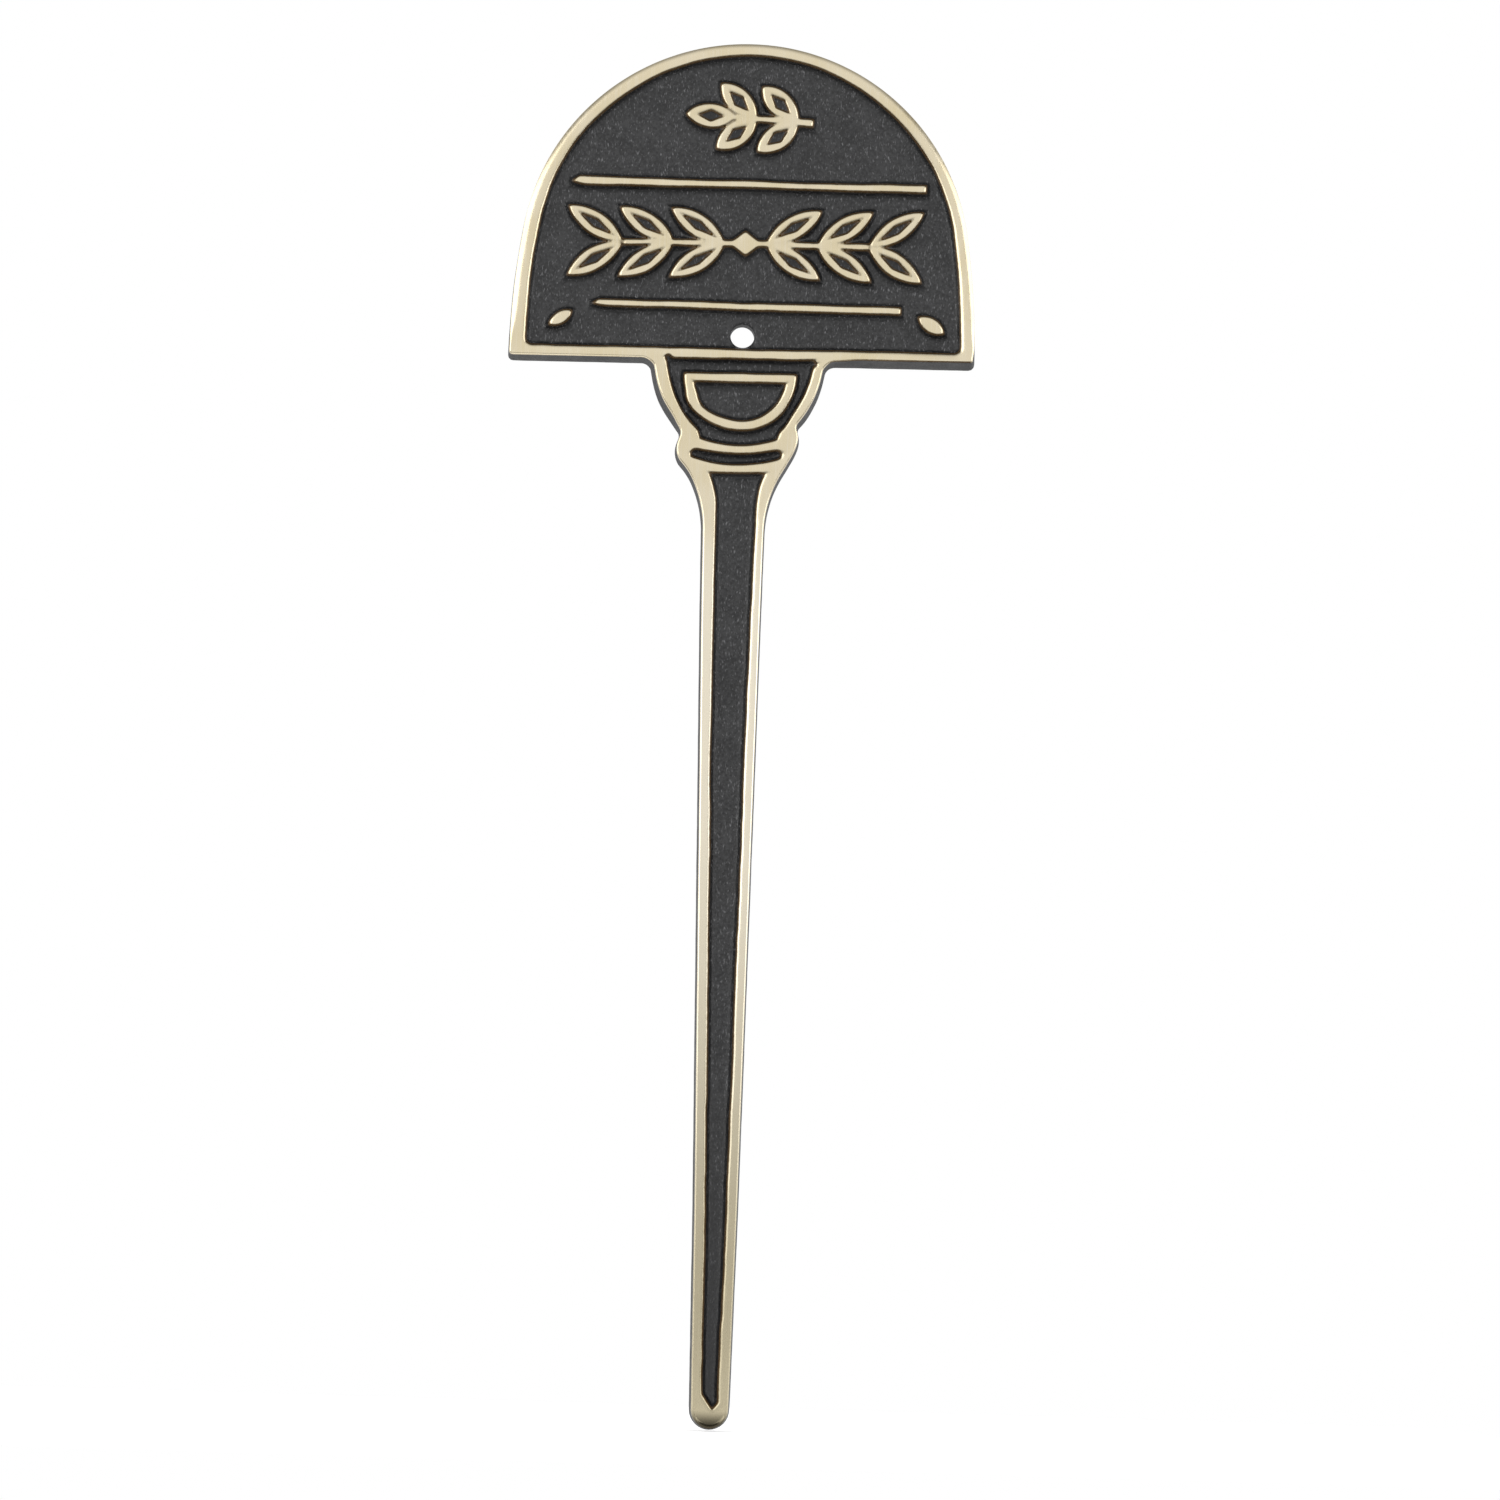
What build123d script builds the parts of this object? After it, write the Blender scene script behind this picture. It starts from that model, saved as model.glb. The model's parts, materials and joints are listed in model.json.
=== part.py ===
from build123d import *
from math import cos, radians, sin, sqrt, tan
import os

# Plant label stake: one brass casting with a half-round name plate, a cup, a collar and a long
# tapered spike, and black enamel in every recess, round the edge and over the back.
# It is drawn lying on its back: x across, y up the stake from its point, z from back to front.
# stand_up then turns it upright, with the front facing -Y and the point of the stake at the origin.
# All sizes are millimetres and degrees.

# Heights along the stake, from the point to the crown
stake_length = 163.0
flare_height = 12.3
collar_height = 6.0
cup_height = 13.0
head_height = 59.7

# Widths of the outline, taken at the back where the casting is widest
head_width = 85.9
head_shoulder_angle = 81.0
head_corner_radius = 0.9
cup_width = 32.3
cup_swell = 1.2
cup_root_radius = 1.8
neck_width = 21.2
neck_radius = 1.3
collar_width = 22.5
collar_foot_width = 19.7
stake_width = 11.7
tip_width = 7.3

# The casting's section
plate_thickness = 5.0
outer_draft = 6.0
front_edge_bevel = 0.4
front_edge_slope = 42.0
recess_depth = 1.3
wall_draft = 14.0

# Brass left standing round the recesses, taken at the front
head_rim = 2.7
head_crown_rim = 2.1
head_base_rim = 1.7
head_base_band = 2.5
cup_rim = 2.3
stake_rim = 1.68
field_corner_radius = 1.2

# Enamel
enamel_film = 0.15
bare_edge = 0.75
vein_sink = 0.3

# Hole for a nail or screw
hole_diameter = 4.4
hole_rim_gap = 0.5

# Rules above and below the name panel
panel_height = 22.9
upper_rule_end_gap = 3.3
upper_rule_left_width = 1.5
upper_rule_right_width = 1.2
lower_rule_rise = 9.9
lower_rule_end_gap = 11.3
lower_rule_left_width = 1.0
lower_rule_right_width = 1.25

# Corner marks below the lower rule
mark_length = 5.0
mark_width = 1.9
mark_angle = 35.0
mark_side_gap = 5.8
mark_rise = 5.0

# Leaf garland between the rules
garland_rule_gap = 3.2
garland_end_gap = 3.0
garland_stem_width = 1.1
garland_centre_length = 6.0
garland_centre_width = 4.6
garland_leaf_angle = 33.0
garland_leaf_width = 4.1
garland_leaf_pitch = 9.4
garland_leaf_start = 3.8

# Herb sprig above the upper rule
sprig_stem_length = 18.0
sprig_stem_width = 0.9
sprig_stem_foot_width = 1.5
sprig_stem_tilt = 3.0
sprig_leaf_length = 9.4
sprig_leaf_width = 4.5
sprig_leaf_angle = 41.0
sprig_leaf_pitch = 7.6
sprig_pairs = 2

# Vein sunk into each leaf
vein_depth = 0.7
vein_length_margin = 2.3
vein_width_margin = 1.2

# Cup: an outer channel round a half-round ring
channel_depth = 15.8
channel_foot_width = 14.0
channel_foot_sag = 1.5
channel_swell = 1.9
ring_top_gap = 2.5
ring_width = 20.3
ring_drop = 10.3
ring_top_band = 1.8
ring_side_band = 1.85
ring_foot_band = 1.8

# Crescent groove in the collar
crescent_band = 1.2
crescent_width = 16.5
crescent_depth = 2.1
crescent_end_height = 0.9
crescent_sag = 0.8

# Recess down the stake
stake_field_band = 1.5
stake_field_width = 10.4
stake_field_flare = 6.7
stake_field_point = 3.4
stake_field_foot = 3.2

# Levels and insets that follow from the sizes above
collar_foot = stake_length + flare_height
neck_level = collar_foot + collar_height
head_base = neck_level + cup_height
crown = head_base + head_height
draft_inset = plate_thickness * tan(radians(outer_draft))
edge_growth = enamel_film * (1 + tan(radians(outer_draft)))
wall_inset = recess_depth * tan(radians(wall_draft))
total_thickness = enamel_film + plate_thickness
front = total_thickness
floor_level = front - recess_depth
field_base = head_base + draft_inset + head_base_rim
field_crown = crown - draft_inset - head_crown_rim
field_half_width = head_width / 2 - draft_inset - head_rim
lower_rule_level = head_base + lower_rule_rise
upper_rule_level = lower_rule_level + panel_height
sprig_level = (upper_rule_level + field_crown) / 2
hole_level = field_base + hole_rim_gap + hole_diameter / 2
channel_top = field_base - head_base_band
channel_foot = channel_top - channel_depth
crescent_top = channel_foot - crescent_band
stake_field_top = crescent_top - crescent_depth - stake_field_band


def both_sides(edges):
    return [*edges, *(mirror(edge, about=Plane.YZ) for edge in edges)]


def face_from(edges):
    """Face inside a closed run of edges, the first of which is drawn anticlockwise."""
    return make_face(Curve() + edges)


def grown(face, amount):
    return offset(face, amount, kind=Kind.INTERSECTION)


def rounded(face, corner, radius):
    """Rounds the corner of a face at a point, and the matching corner on the other side."""
    corners = [face.vertices().sort_by_distance((side * corner[0], corner[1]))[0] for side in (1, -1)]
    return fillet(corners, radius)


def arch_arcs(half_width, base, top):
    """Crown radius, side radius and right-hand joint of an arch that is upright at its base."""
    turn_sin, turn_cos = sin(radians(head_shoulder_angle)), cos(radians(head_shoulder_angle))
    rise = top - base
    share = turn_sin * turn_cos - (1 - turn_sin) * (1 - turn_cos)
    crown_radius = (half_width * turn_cos - rise * (1 - turn_sin)) / share
    side_radius = (rise * turn_sin - half_width * (1 - turn_cos)) / share
    joint = (crown_radius * turn_sin, top - crown_radius * (1 - turn_cos))
    return crown_radius, side_radius, joint


def arch(half_width, base, top, corner_radius):
    """Name plate shape: flat base, two side arcs and a crown arc."""
    _, _, joint = arch_arcs(half_width, base, top)
    sides = both_sides([TangentArc((half_width, base), joint, tangent=(0, 1))])
    crown_arc = ThreePointArc(joint, (0, top), (-joint[0], joint[1]))
    base_line = Line((-half_width, base), (half_width, base))
    plate = face_from([*sides, crown_arc, base_line])
    return rounded(plate, (half_width, base), corner_radius)


def field_half_width_at(level):
    """Half width of the head's recess at a level."""
    crown_radius, side_radius, joint = arch_arcs(field_half_width, field_base, field_crown)
    if level < joint[1]:
        return field_half_width - side_radius + sqrt(side_radius**2 - (level - field_base) ** 2)
    return sqrt(crown_radius**2 - (level - field_crown + crown_radius) ** 2)


def stake_half_width_at(level):
    """Half width of the stake's back outline at a level below the flare."""
    tip = tip_width / 2
    return tip + (stake_width / 2 - tip) * (level - tip) / (stake_length - tip)


def casting_outline():
    """Back outline of the whole casting."""
    tip = tip_width / 2
    flank = Line((tip, tip), (stake_width / 2, stake_length))
    flare = TangentArc(flank @ 1, (collar_foot_width / 2, collar_foot), tangent=flank % 1)
    collar_side = (collar_width / 2, collar_foot + collar_height / 2)
    collar = ThreePointArc(flare @ 1, collar_side, (neck_width / 2, neck_level))
    cup = SagittaArc(collar @ 1, (cup_width / 2, head_base), -cup_swell)
    buried_side = Line(cup @ 1, (cup_width / 2, field_base))
    buried_top = Line(buried_side @ 1, (-cup_width / 2, field_base))
    point = ThreePointArc((-tip, tip), (0, 0), (tip, tip))
    shaft = face_from([*both_sides([flank, flare, collar, cup, buried_side]), buried_top, point])
    plate = arch(head_width / 2, head_base, crown, head_corner_radius)
    outline = rounded(plate + shaft, (cup_width / 2, head_base), cup_root_radius)
    return rounded(outline, (neck_width / 2, neck_level), neck_radius)


def leaf(length, width):
    """Leaf lying along +x from its stalk at the origin: two arcs that meet in points."""
    upper = ThreePointArc((0, 0), (length / 2, width / 2), (length, 0))
    lower = ThreePointArc((0, 0), (length / 2, -width / 2), (length, 0))
    return face_from([lower, upper])


def lozenge(length, width):
    """Lozenge about the origin, its length along x."""
    corners = [(-length / 2, 0), (0, -width / 2), (length / 2, 0), (0, width / 2)]
    return Polygon(*corners, align=None)


def vein(length, width):
    """Chisel cut down the middle of a leaf."""
    cut = lozenge(length - 2 * vein_length_margin, width - 2 * vein_width_margin)
    return Pos(length / 2, 0) * cut


def bar(half_length, level, left_width, right_width):
    """Level bar with square ends that tapers from its left end to its right."""
    left, right = left_width / 2, right_width / 2
    corners = [
        (-half_length, level - left), (half_length, level - right),
        (half_length, level + right), (-half_length, level + left),
    ]
    return Polygon(*corners, align=None)


def bowl(half_width, top, depth):
    """Half-round shape that hangs from a level line."""
    curve = ThreePointArc((-half_width, top), (0, top - depth), (half_width, top))
    return face_from([curve, Line(curve @ 1, curve @ 0)])


def head_field():
    return arch(field_half_width, field_base, field_crown, field_corner_radius)


def cup_channel():
    top_half = cup_width / 2 - draft_inset - cup_rim
    foot_half = channel_foot_width / 2
    side = SagittaArc((foot_half, channel_foot + channel_foot_sag), (top_half, channel_top), -channel_swell)
    top = Line((-top_half, channel_top), (top_half, channel_top))
    foot = ThreePointArc(side @ 0, (0, channel_foot), (-foot_half, channel_foot + channel_foot_sag))
    return face_from([*both_sides([side]), top, foot])


def cup_ring():
    return bowl(ring_width / 2, channel_top - ring_top_gap, ring_drop)


def cup_centre():
    half_width = ring_width / 2 - ring_side_band
    depth = ring_drop - ring_top_band - ring_foot_band
    return bowl(half_width, channel_top - ring_top_gap - ring_top_band, depth)


def collar_crescent():
    half = crescent_width / 2
    upper_end = crescent_top + crescent_sag
    lower_end = upper_end - crescent_end_height
    upper = ThreePointArc((-half, upper_end), (0, crescent_top), (half, upper_end))
    lower = ThreePointArc((-half, lower_end), (0, crescent_top - crescent_depth), (half, lower_end))
    ends = both_sides([Line((half, upper_end), (half, lower_end))])
    return face_from([lower, upper, *ends])


def stake_field():
    straight_top = stake_field_top - stake_field_flare
    straight_foot = stake_field_foot + stake_field_point
    side_gap = draft_inset + stake_rim
    foot_half = stake_half_width_at(straight_foot) - side_gap
    top_half = stake_half_width_at(straight_top) - side_gap
    point = Line((0, stake_field_foot), (foot_half, straight_foot))
    side = Line(point @ 1, (top_half, straight_top))
    flare = TangentArc(side @ 1, (stake_field_width / 2, stake_field_top), tangent=side % 1)
    top = Line((-stake_field_width / 2, stake_field_top), (stake_field_width / 2, stake_field_top))
    return face_from([*both_sides([point, side, flare]), top])


def garland_leaves():
    """Places and length of the garland's leaves: pairs that point outwards from the middle."""
    level = lower_rule_level + panel_height / 2
    reach = panel_height / 2 - garland_rule_gap
    angle = radians(garland_leaf_angle)
    length = (reach - garland_leaf_width / 2 * cos(angle)) / sin(angle)
    room = field_half_width_at(level + reach) - garland_end_gap
    count = 1 + int((room - garland_leaf_start - length * cos(angle)) / garland_leaf_pitch)
    stalks = [garland_leaf_start + garland_leaf_pitch * i for i in range(count)]
    places = [
        Pos(side * stalk, level) * Rot(0, 0, 90 - side * 90 + turn * garland_leaf_angle)
        for stalk in stalks
        for side in (1, -1)
        for turn in (1, -1)
    ]
    return places, length, level, stalks[-1]


def sprig_leaves():
    """Places of the sprig's leaves along its tilted stem: opposite pairs and one at the tip."""
    overhang = sprig_leaf_length - sprig_leaf_pitch / 2
    stem = Pos(overhang / 2, sprig_level) * Rot(0, 0, 180 - sprig_stem_tilt)
    first = sprig_stem_length / 2 - sprig_leaf_pitch * sprig_pairs
    stalks = [first + sprig_leaf_pitch * i for i in range(sprig_pairs)]
    pairs = [
        stem * Pos(stalk, 0) * Rot(0, 0, turn * sprig_leaf_angle) for stalk in stalks for turn in (1, -1)
    ]
    tip = stem * Pos(sprig_stem_length / 2 - sprig_leaf_pitch / 2, 0)
    return [*pairs, tip], stem


def head_relief():
    """Everything that stands up out of the head's recess, as outlines at the front."""
    places, length, level, last_stalk = garland_leaves()
    relief = [place * leaf(length, garland_leaf_width) for place in places]
    relief.append(bar(last_stalk, level, garland_stem_width, garland_stem_width))
    relief.append(Pos(0, level) * lozenge(garland_centre_length, garland_centre_width))
    places, stem = sprig_leaves()
    relief += [place * leaf(sprig_leaf_length, sprig_leaf_width) for place in places]
    relief.append(stem * bar(sprig_stem_length / 2, 0, sprig_stem_foot_width, sprig_stem_width))
    upper_half = field_half_width_at(upper_rule_level) - upper_rule_end_gap
    lower_half = field_half_width_at(lower_rule_level) - lower_rule_end_gap
    relief.append(bar(upper_half, upper_rule_level, upper_rule_left_width, upper_rule_right_width))
    relief.append(bar(lower_half, lower_rule_level, lower_rule_left_width, lower_rule_right_width))
    for side in (1, -1):
        middle = Pos(side * (field_half_width - mark_side_gap), field_base + mark_rise)
        relief.append(middle * Rot(0, 0, -side * mark_angle) * lozenge(mark_length, mark_width))
    return relief


def leaf_veins():
    places, length, _, _ = garland_leaves()
    veins = [place * vein(length, garland_leaf_width) for place in places]
    places, _ = sprig_leaves()
    return veins + [place * vein(sprig_leaf_length, sprig_leaf_width) for place in places]


def sunk(face, depth, top=front):
    """Solid that fills a recess: the face's size at its top, drawn in towards its floor."""
    return Pos(0, 0, top) * mirror(extrude(face, depth, taper=wall_draft), about=Plane.XY)


def raised(face, height, growth=0.0):
    """Solid that stands on the recess floor: the face's size at the front, spread towards its foot."""
    foot = grown(face, growth + wall_inset)
    return Pos(0, 0, floor_level) * extrude(foot, height, taper=wall_draft)


def nail_hole():
    return Pos(0, hole_level, 0) * Cylinder(
        hole_diameter / 2, total_thickness, align=(Align.CENTER, Align.CENTER, Align.MIN)
    )


def liner(face, relief=()):
    """Enamel coat on the floor and walls of a recess, and up the walls of what stands in it."""
    hollow = sunk(grown(face, -enamel_film), recess_depth - enamel_film)
    coat = sunk(face, recess_depth)
    coated = [raised(outline, recess_depth, enamel_film) for outline in relief]
    bare = [raised(outline, recess_depth) for outline in relief]
    return coat - (hollow - coated) - bare if relief else coat - hollow


def blank(outline):
    """The casting before anything is sunk into it."""
    sides = Pos(0, 0, enamel_film) * extrude(outline, plate_thickness - front_edge_bevel, taper=outer_draft)
    shoulder = sides.faces().sort_by(Axis.Z)[-1]
    return sides + extrude(shoulder, front_edge_bevel, taper=front_edge_slope)


def casting(body):
    fields = [head_field(), cup_channel(), collar_crescent(), stake_field()]
    body = body - [sunk(field, recess_depth) for field in fields]
    body += [raised(outline, recess_depth) for outline in head_relief()]
    body += raised(cup_ring(), recess_depth)
    body -= sunk(cup_centre(), recess_depth)
    body -= [sunk(outline, vein_depth) for outline in leaf_veins()]
    return body - nail_hole()


def vein_fill(face):
    """Enamel in the bottom of a vein."""
    top = grown(face, -vein_sink * tan(radians(wall_draft)))
    return sunk(top, vein_depth - vein_sink, front - vein_sink)


def back_coat(outline, body):
    """Enamel over the back and up the edge, as far as the bare strip at the front."""
    coat = extrude(grown(outline, edge_growth), total_thickness - bare_edge, taper=outer_draft)
    return coat - body - nail_hole()


def stand_up(solid):
    return Plane(origin=(0, total_thickness / 2, edge_growth), x_dir=(1, 0, 0), z_dir=(0, -1, 0)) * solid


outline = casting_outline()
body = blank(outline)
pieces = {
    "brass_casting": casting(body),
    "back_enamel": back_coat(outline, body),
    "head_enamel": liner(head_field(), head_relief()) - nail_hole(),
    "leaf_vein_enamel": Part() + [vein_fill(face) for face in leaf_veins()],
    "cup_channel_enamel": liner(cup_channel(), [cup_ring()]),
    "cup_centre_enamel": liner(cup_centre()),
    "collar_enamel": liner(collar_crescent()),
    "stake_enamel": liner(stake_field()),
}

os.makedirs("parts", exist_ok=True)
for name, solid in pieces.items():
    export_step(stand_up(solid), f"parts/{name}.step")
    print(name, len(solid.solids()), round(solid.volume, 1))
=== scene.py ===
import json
import math

import bpy
import numpy as np
from mathutils import Matrix, Vector
from mathutils.geometry import delaunay_2d_cdt


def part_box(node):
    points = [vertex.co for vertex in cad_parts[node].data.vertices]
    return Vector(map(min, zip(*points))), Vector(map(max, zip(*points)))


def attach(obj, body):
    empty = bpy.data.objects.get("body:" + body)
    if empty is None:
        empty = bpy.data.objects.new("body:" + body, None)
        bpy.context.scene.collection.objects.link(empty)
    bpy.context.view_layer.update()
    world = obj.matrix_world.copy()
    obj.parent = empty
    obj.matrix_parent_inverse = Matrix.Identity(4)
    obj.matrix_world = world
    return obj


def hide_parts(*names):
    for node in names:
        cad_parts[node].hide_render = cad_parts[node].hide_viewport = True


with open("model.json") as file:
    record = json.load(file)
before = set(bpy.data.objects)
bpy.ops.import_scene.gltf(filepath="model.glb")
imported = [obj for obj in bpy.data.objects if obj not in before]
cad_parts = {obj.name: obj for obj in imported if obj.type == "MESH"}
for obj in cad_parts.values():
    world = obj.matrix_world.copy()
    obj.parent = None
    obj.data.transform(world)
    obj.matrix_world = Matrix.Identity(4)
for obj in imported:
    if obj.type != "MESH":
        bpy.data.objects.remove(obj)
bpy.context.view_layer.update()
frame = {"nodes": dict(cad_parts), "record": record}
print("frame loaded:", len(frame["nodes"]), "nodes")

# The marker is drawn flat in millimetres: u across, v up the stake, and height up from its back to its front.
mm = 0.001
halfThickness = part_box("back_enamel")[1].y / mm
front = 2 * halfThickness


def nodeSpan(node):  # lowest and highest u and v of a CAD node
    low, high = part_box(node)
    return np.array((low.x, low.z)) / mm, np.array((high.x, high.z)) / mm


brassLow, brassHigh = nodeSpan("brass_casting")
backHigh = nodeSpan("back_enamel")[1]
edgeCoat = backHigh[0] - brassHigh[0]  # paint on the outer edge, measured at the back


# Lines and arcs

def arcRun(centre, start, end, flatness=0.003):  # points along the shorter arc from start to end
    centre, start, end = np.array(centre), np.array(start), np.array(end)
    radius = np.linalg.norm(start - centre)
    first, last = (math.atan2(*(point - centre)[::-1]) for point in (start, end))
    turn = (last - first + math.pi) % (2 * math.pi) - math.pi
    count = 2 + int(abs(turn) * radius / math.sqrt(8 * radius * flatness))
    angles = first + turn * np.linspace(0, 1, count)
    return centre + radius * np.column_stack((np.cos(angles), np.sin(angles)))


def centreThrough(a, b, c):  # centre of the circle through three points
    a, b, c = np.array(a), np.array(b), np.array(c)
    rows = 2 * np.array((b - a, c - a))
    return np.linalg.solve(rows, np.array((b @ b - a @ a, c @ c - a @ a)))


def tangentArc(start, heading, end):  # arc that leaves start along heading
    start, end = np.array(start), np.array(end)
    across = np.array((-heading[1], heading[0]))
    chord = end - start
    return arcRun(start + across * (chord @ chord) / (2 * across @ chord), start, end)


def bulgedArc(start, end, bulge):  # arc that swells to the right of the way from start to end
    start, end = np.array(start), np.array(end)
    chord = end - start
    across = np.array((chord[1], -chord[0])) / np.linalg.norm(chord)
    return arcRun(centreThrough(start, (start + end) / 2 + across * bulge, end), start, end)


def joinedRuns(runs, radii):  # runs end to end, each corner between two of them rounded
    points = np.array(runs[0], float)
    for run, radius in zip(runs[1:], radii):
        run = np.array(run, float)
        if radius == 0:
            points = np.vstack((points, run[1:]))
            continue
        arriving, leaving = points[-1] - points[-2], run[1] - run[0]
        arriving, leaving = arriving / np.linalg.norm(arriving), leaving / np.linalg.norm(leaving)
        reach = radius * math.tan(math.acos(arriving @ leaving) / 2)
        side = math.copysign(1, arriving[0] * leaving[1] - arriving[1] * leaving[0])
        start, end = run[0] - arriving * reach, run[0] + leaving * reach
        centre = start + side * radius * np.array((-arriving[1], arriving[0]))
        points = points[np.linalg.norm(points - run[0], axis=1) > reach]
        run = run[np.linalg.norm(run - run[0], axis=1) > reach]
        points = np.vstack((points, arcRun(centre, start, end), run))
    return points


# Fields: how far a point lies inside a shape, in millimetres, negative outside

gridStep = 0.1
windowMargin = 3.0
farOutside = -9.0  # what a field says beyond its window


def gridOver(low, high):  # u and v of every node of a window
    return np.meshgrid(*(np.arange(a, b + gridStep, gridStep) for a, b in zip(low, high)))


def runDistance(points, u, v):
    best = np.full(u.shape, 1e6)
    for (au, av), (bu, bv) in zip(points[:-1], points[1:]):
        du, dv = bu - au, bv - av
        along = np.clip(((u - au) * du + (v - av) * dv) / (du * du + dv * dv), 0, 1)
        best = np.minimum(best, (u - au - along * du) ** 2 + (v - av - along * dv) ** 2)
    return np.sqrt(best)


def mirroredField(run, u, v):  # shape whose right half is a run that starts and ends on the centre line
    u = np.abs(u)
    inside = np.zeros(u.shape, bool)
    for (au, av), (bu, bv) in zip(run, np.roll(run, -1, 0)):
        if av != bv:
            inside ^= ((av > v) != (bv > v)) & (u < (bu - au) * (v - av) / (bv - av) + au)
    distance = runDistance(run, u, v)
    return np.where(inside, distance, -distance)


def softened(values, radius):  # rounds every corner that a field draws
    reach = int(3 * radius / gridStep)
    kernel = np.exp(-0.5 * (np.arange(-reach, reach + 1) * gridStep / radius) ** 2)
    kernel /= kernel.sum()
    padded = np.pad(values, reach, mode="edge")
    for axis in (0, 1):
        padded = np.apply_along_axis(lambda line: np.convolve(line, kernel, "valid"), axis, padded)
    return padded


def readField(field, u, v):  # value at any point, far outside beyond the window
    values = field["values"]
    x, y = (u - field["low"][0]) / gridStep, (v - field["low"][1]) / gridStep
    rows, columns = values.shape
    known = (x >= 0) & (x < columns - 1) & (y >= 0) & (y < rows - 1)
    i, j = np.clip(y.astype(int), 0, rows - 2), np.clip(x.astype(int), 0, columns - 2)
    fy, fx = np.clip(y - i, 0, 1), np.clip(x - j, 0, 1)
    lower = values[i, j] * (1 - fx) + values[i, j + 1] * fx
    upper = values[i + 1, j] * (1 - fx) + values[i + 1, j + 1] * fx
    return np.where(known, lower * (1 - fy) + upper * fy, farOutside)


def castNoise(u, v, width, seed):  # smooth random unevenness from -1 to 1, about that wide
    table = np.random.RandomState(seed).uniform(-1, 1, (128, 128))
    x, y = u / width, v / width
    j, i = np.floor(x).astype(int), np.floor(y).astype(int)
    fx, fy = x - j, y - i
    fx, fy = fx * fx * (3 - 2 * fx), fy * fy * (3 - 2 * fy)
    lower = table[i % 128, j % 128] * (1 - fx) + table[i % 128, (j + 1) % 128] * fx
    upper = table[(i + 1) % 128, j % 128] * (1 - fx) + table[(i + 1) % 128, (j + 1) % 128] * fx
    return lower * (1 - fy) + upper * fy


def eased(x):
    x = np.clip(x, 0, 1)
    return x * x * (3 - 2 * x)


waves = {  # unevenness of each surface: height, width and seed
    "outline": ((1.0, 9.0, 3), (0.5, 3.1, 4)),
    "tops": ((0.012, 7.0, 71), (0.008, 2.3, 72)),
    "floors": ((0.6, 1.1, 61), (0.4, 2.7, 62), (0.5, 9.0, 63)),
    "edge": ((0.25, 1.3, 81), (0.25, 4.1, 82)),
    "back": ((0.015, 6.0, 91), (0.0125, 2.2, 92)),
}


def uneven(u, v, surface):
    return sum(height * castNoise(u, v, width, seed) for height, width, seed in waves[surface])


# Outline of the casting, point of the stake to crown, as the right half

outline = {
    "stakeLength": 163.0,
    "flareHeight": 12.3,
    "collarHeight": 6.0,
    "cupHeight": 13.0,
    "tipHalf": 3.65,
    "stakeHalf": 5.85,
    "collarFootHalf": 9.85,
    "collarHalf": 11.25,
    "neckHalf": 10.6,
    "neckRadius": 1.3,
    "cupHalf": 16.15,
    "cupSwell": 1.2,
    "cupRootRadius": 1.8,
    "headCornerRadius": 0.9,
    "shoulderAngle": 81.0,
    "lean": 0.011,  # rise per millimetre to the right: the plate sits a little askew on the stake
    "leanSpan": (150.0, 175.0),
    "sway": -0.62,  # the stake bends to the left of the plate's centre line, most at the cup
    "swaySpan": (40.0, 150.0),
    "neckSway": 0.45,  # and comes back to the right at the neck
    "neckSpan": (176.0, 182.0, 183.0, 188.0),
    "collarSlip": (-0.45, 1.1),  # the collar's bulge sits lower on the left and higher on the right
    "collarSpan": (166.0, 177.0, 181.0, 189.0),
    "collarReach": (8.0, 10.5),
    "plateSpan": (0.4, 2.0),  # mm above its base, where the plate is straight again
    "plateReach": (17.0, 22.0),
    "fettled": 0.08,  # taken off the edge by hand, and how unevenly
    "unevenness": 0.05,
}


def spanShare(x, span):
    return np.clip((x - span[0]) / (span[1] - span[0]), 0, 1)


def easedShare(x, span):
    return eased(spanShare(x, span))


def upAndDown(x, span):  # rises over the first two values and falls over the last two
    return easedShare(x, span[:2]) * (1 - easedShare(x, span[2:]))


def straightened(u, v):  # where a point of the askew casting lies on the straight drawing
    aside = spanShare(np.abs(u), outline["plateReach"])
    onPlate = np.maximum(spanShare(v - headBase, outline["plateSpan"]), aside)
    sway = outline["sway"] * spanShare(v, outline["swaySpan"]) * (1 - eased(onPlate))
    sway = sway + outline["neckSway"] * upAndDown(v, outline["neckSpan"])
    slip = np.where(u < 0, *outline["collarSlip"]) * upAndDown(v, outline["collarSpan"])
    slip = slip * easedShare(np.abs(u), outline["collarReach"])
    return u - sway, v - slip - outline["lean"] * u * easedShare(v, outline["leanSpan"])


def archRuns(half, base, top):  # side arc and crown arc of the plate, upright at its base
    turn = math.radians(outline["shoulderAngle"])
    rise, s, c = top - base, math.sin(turn), math.cos(turn)
    radius = (half * c - rise * (1 - s)) / (s * c - (1 - s) * (1 - c))
    joint = (radius * s, top - radius * (1 - c))
    return tangentArc((half, base), (0, 1), joint), arcRun((0, top - radius), joint, (0, top))


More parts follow.
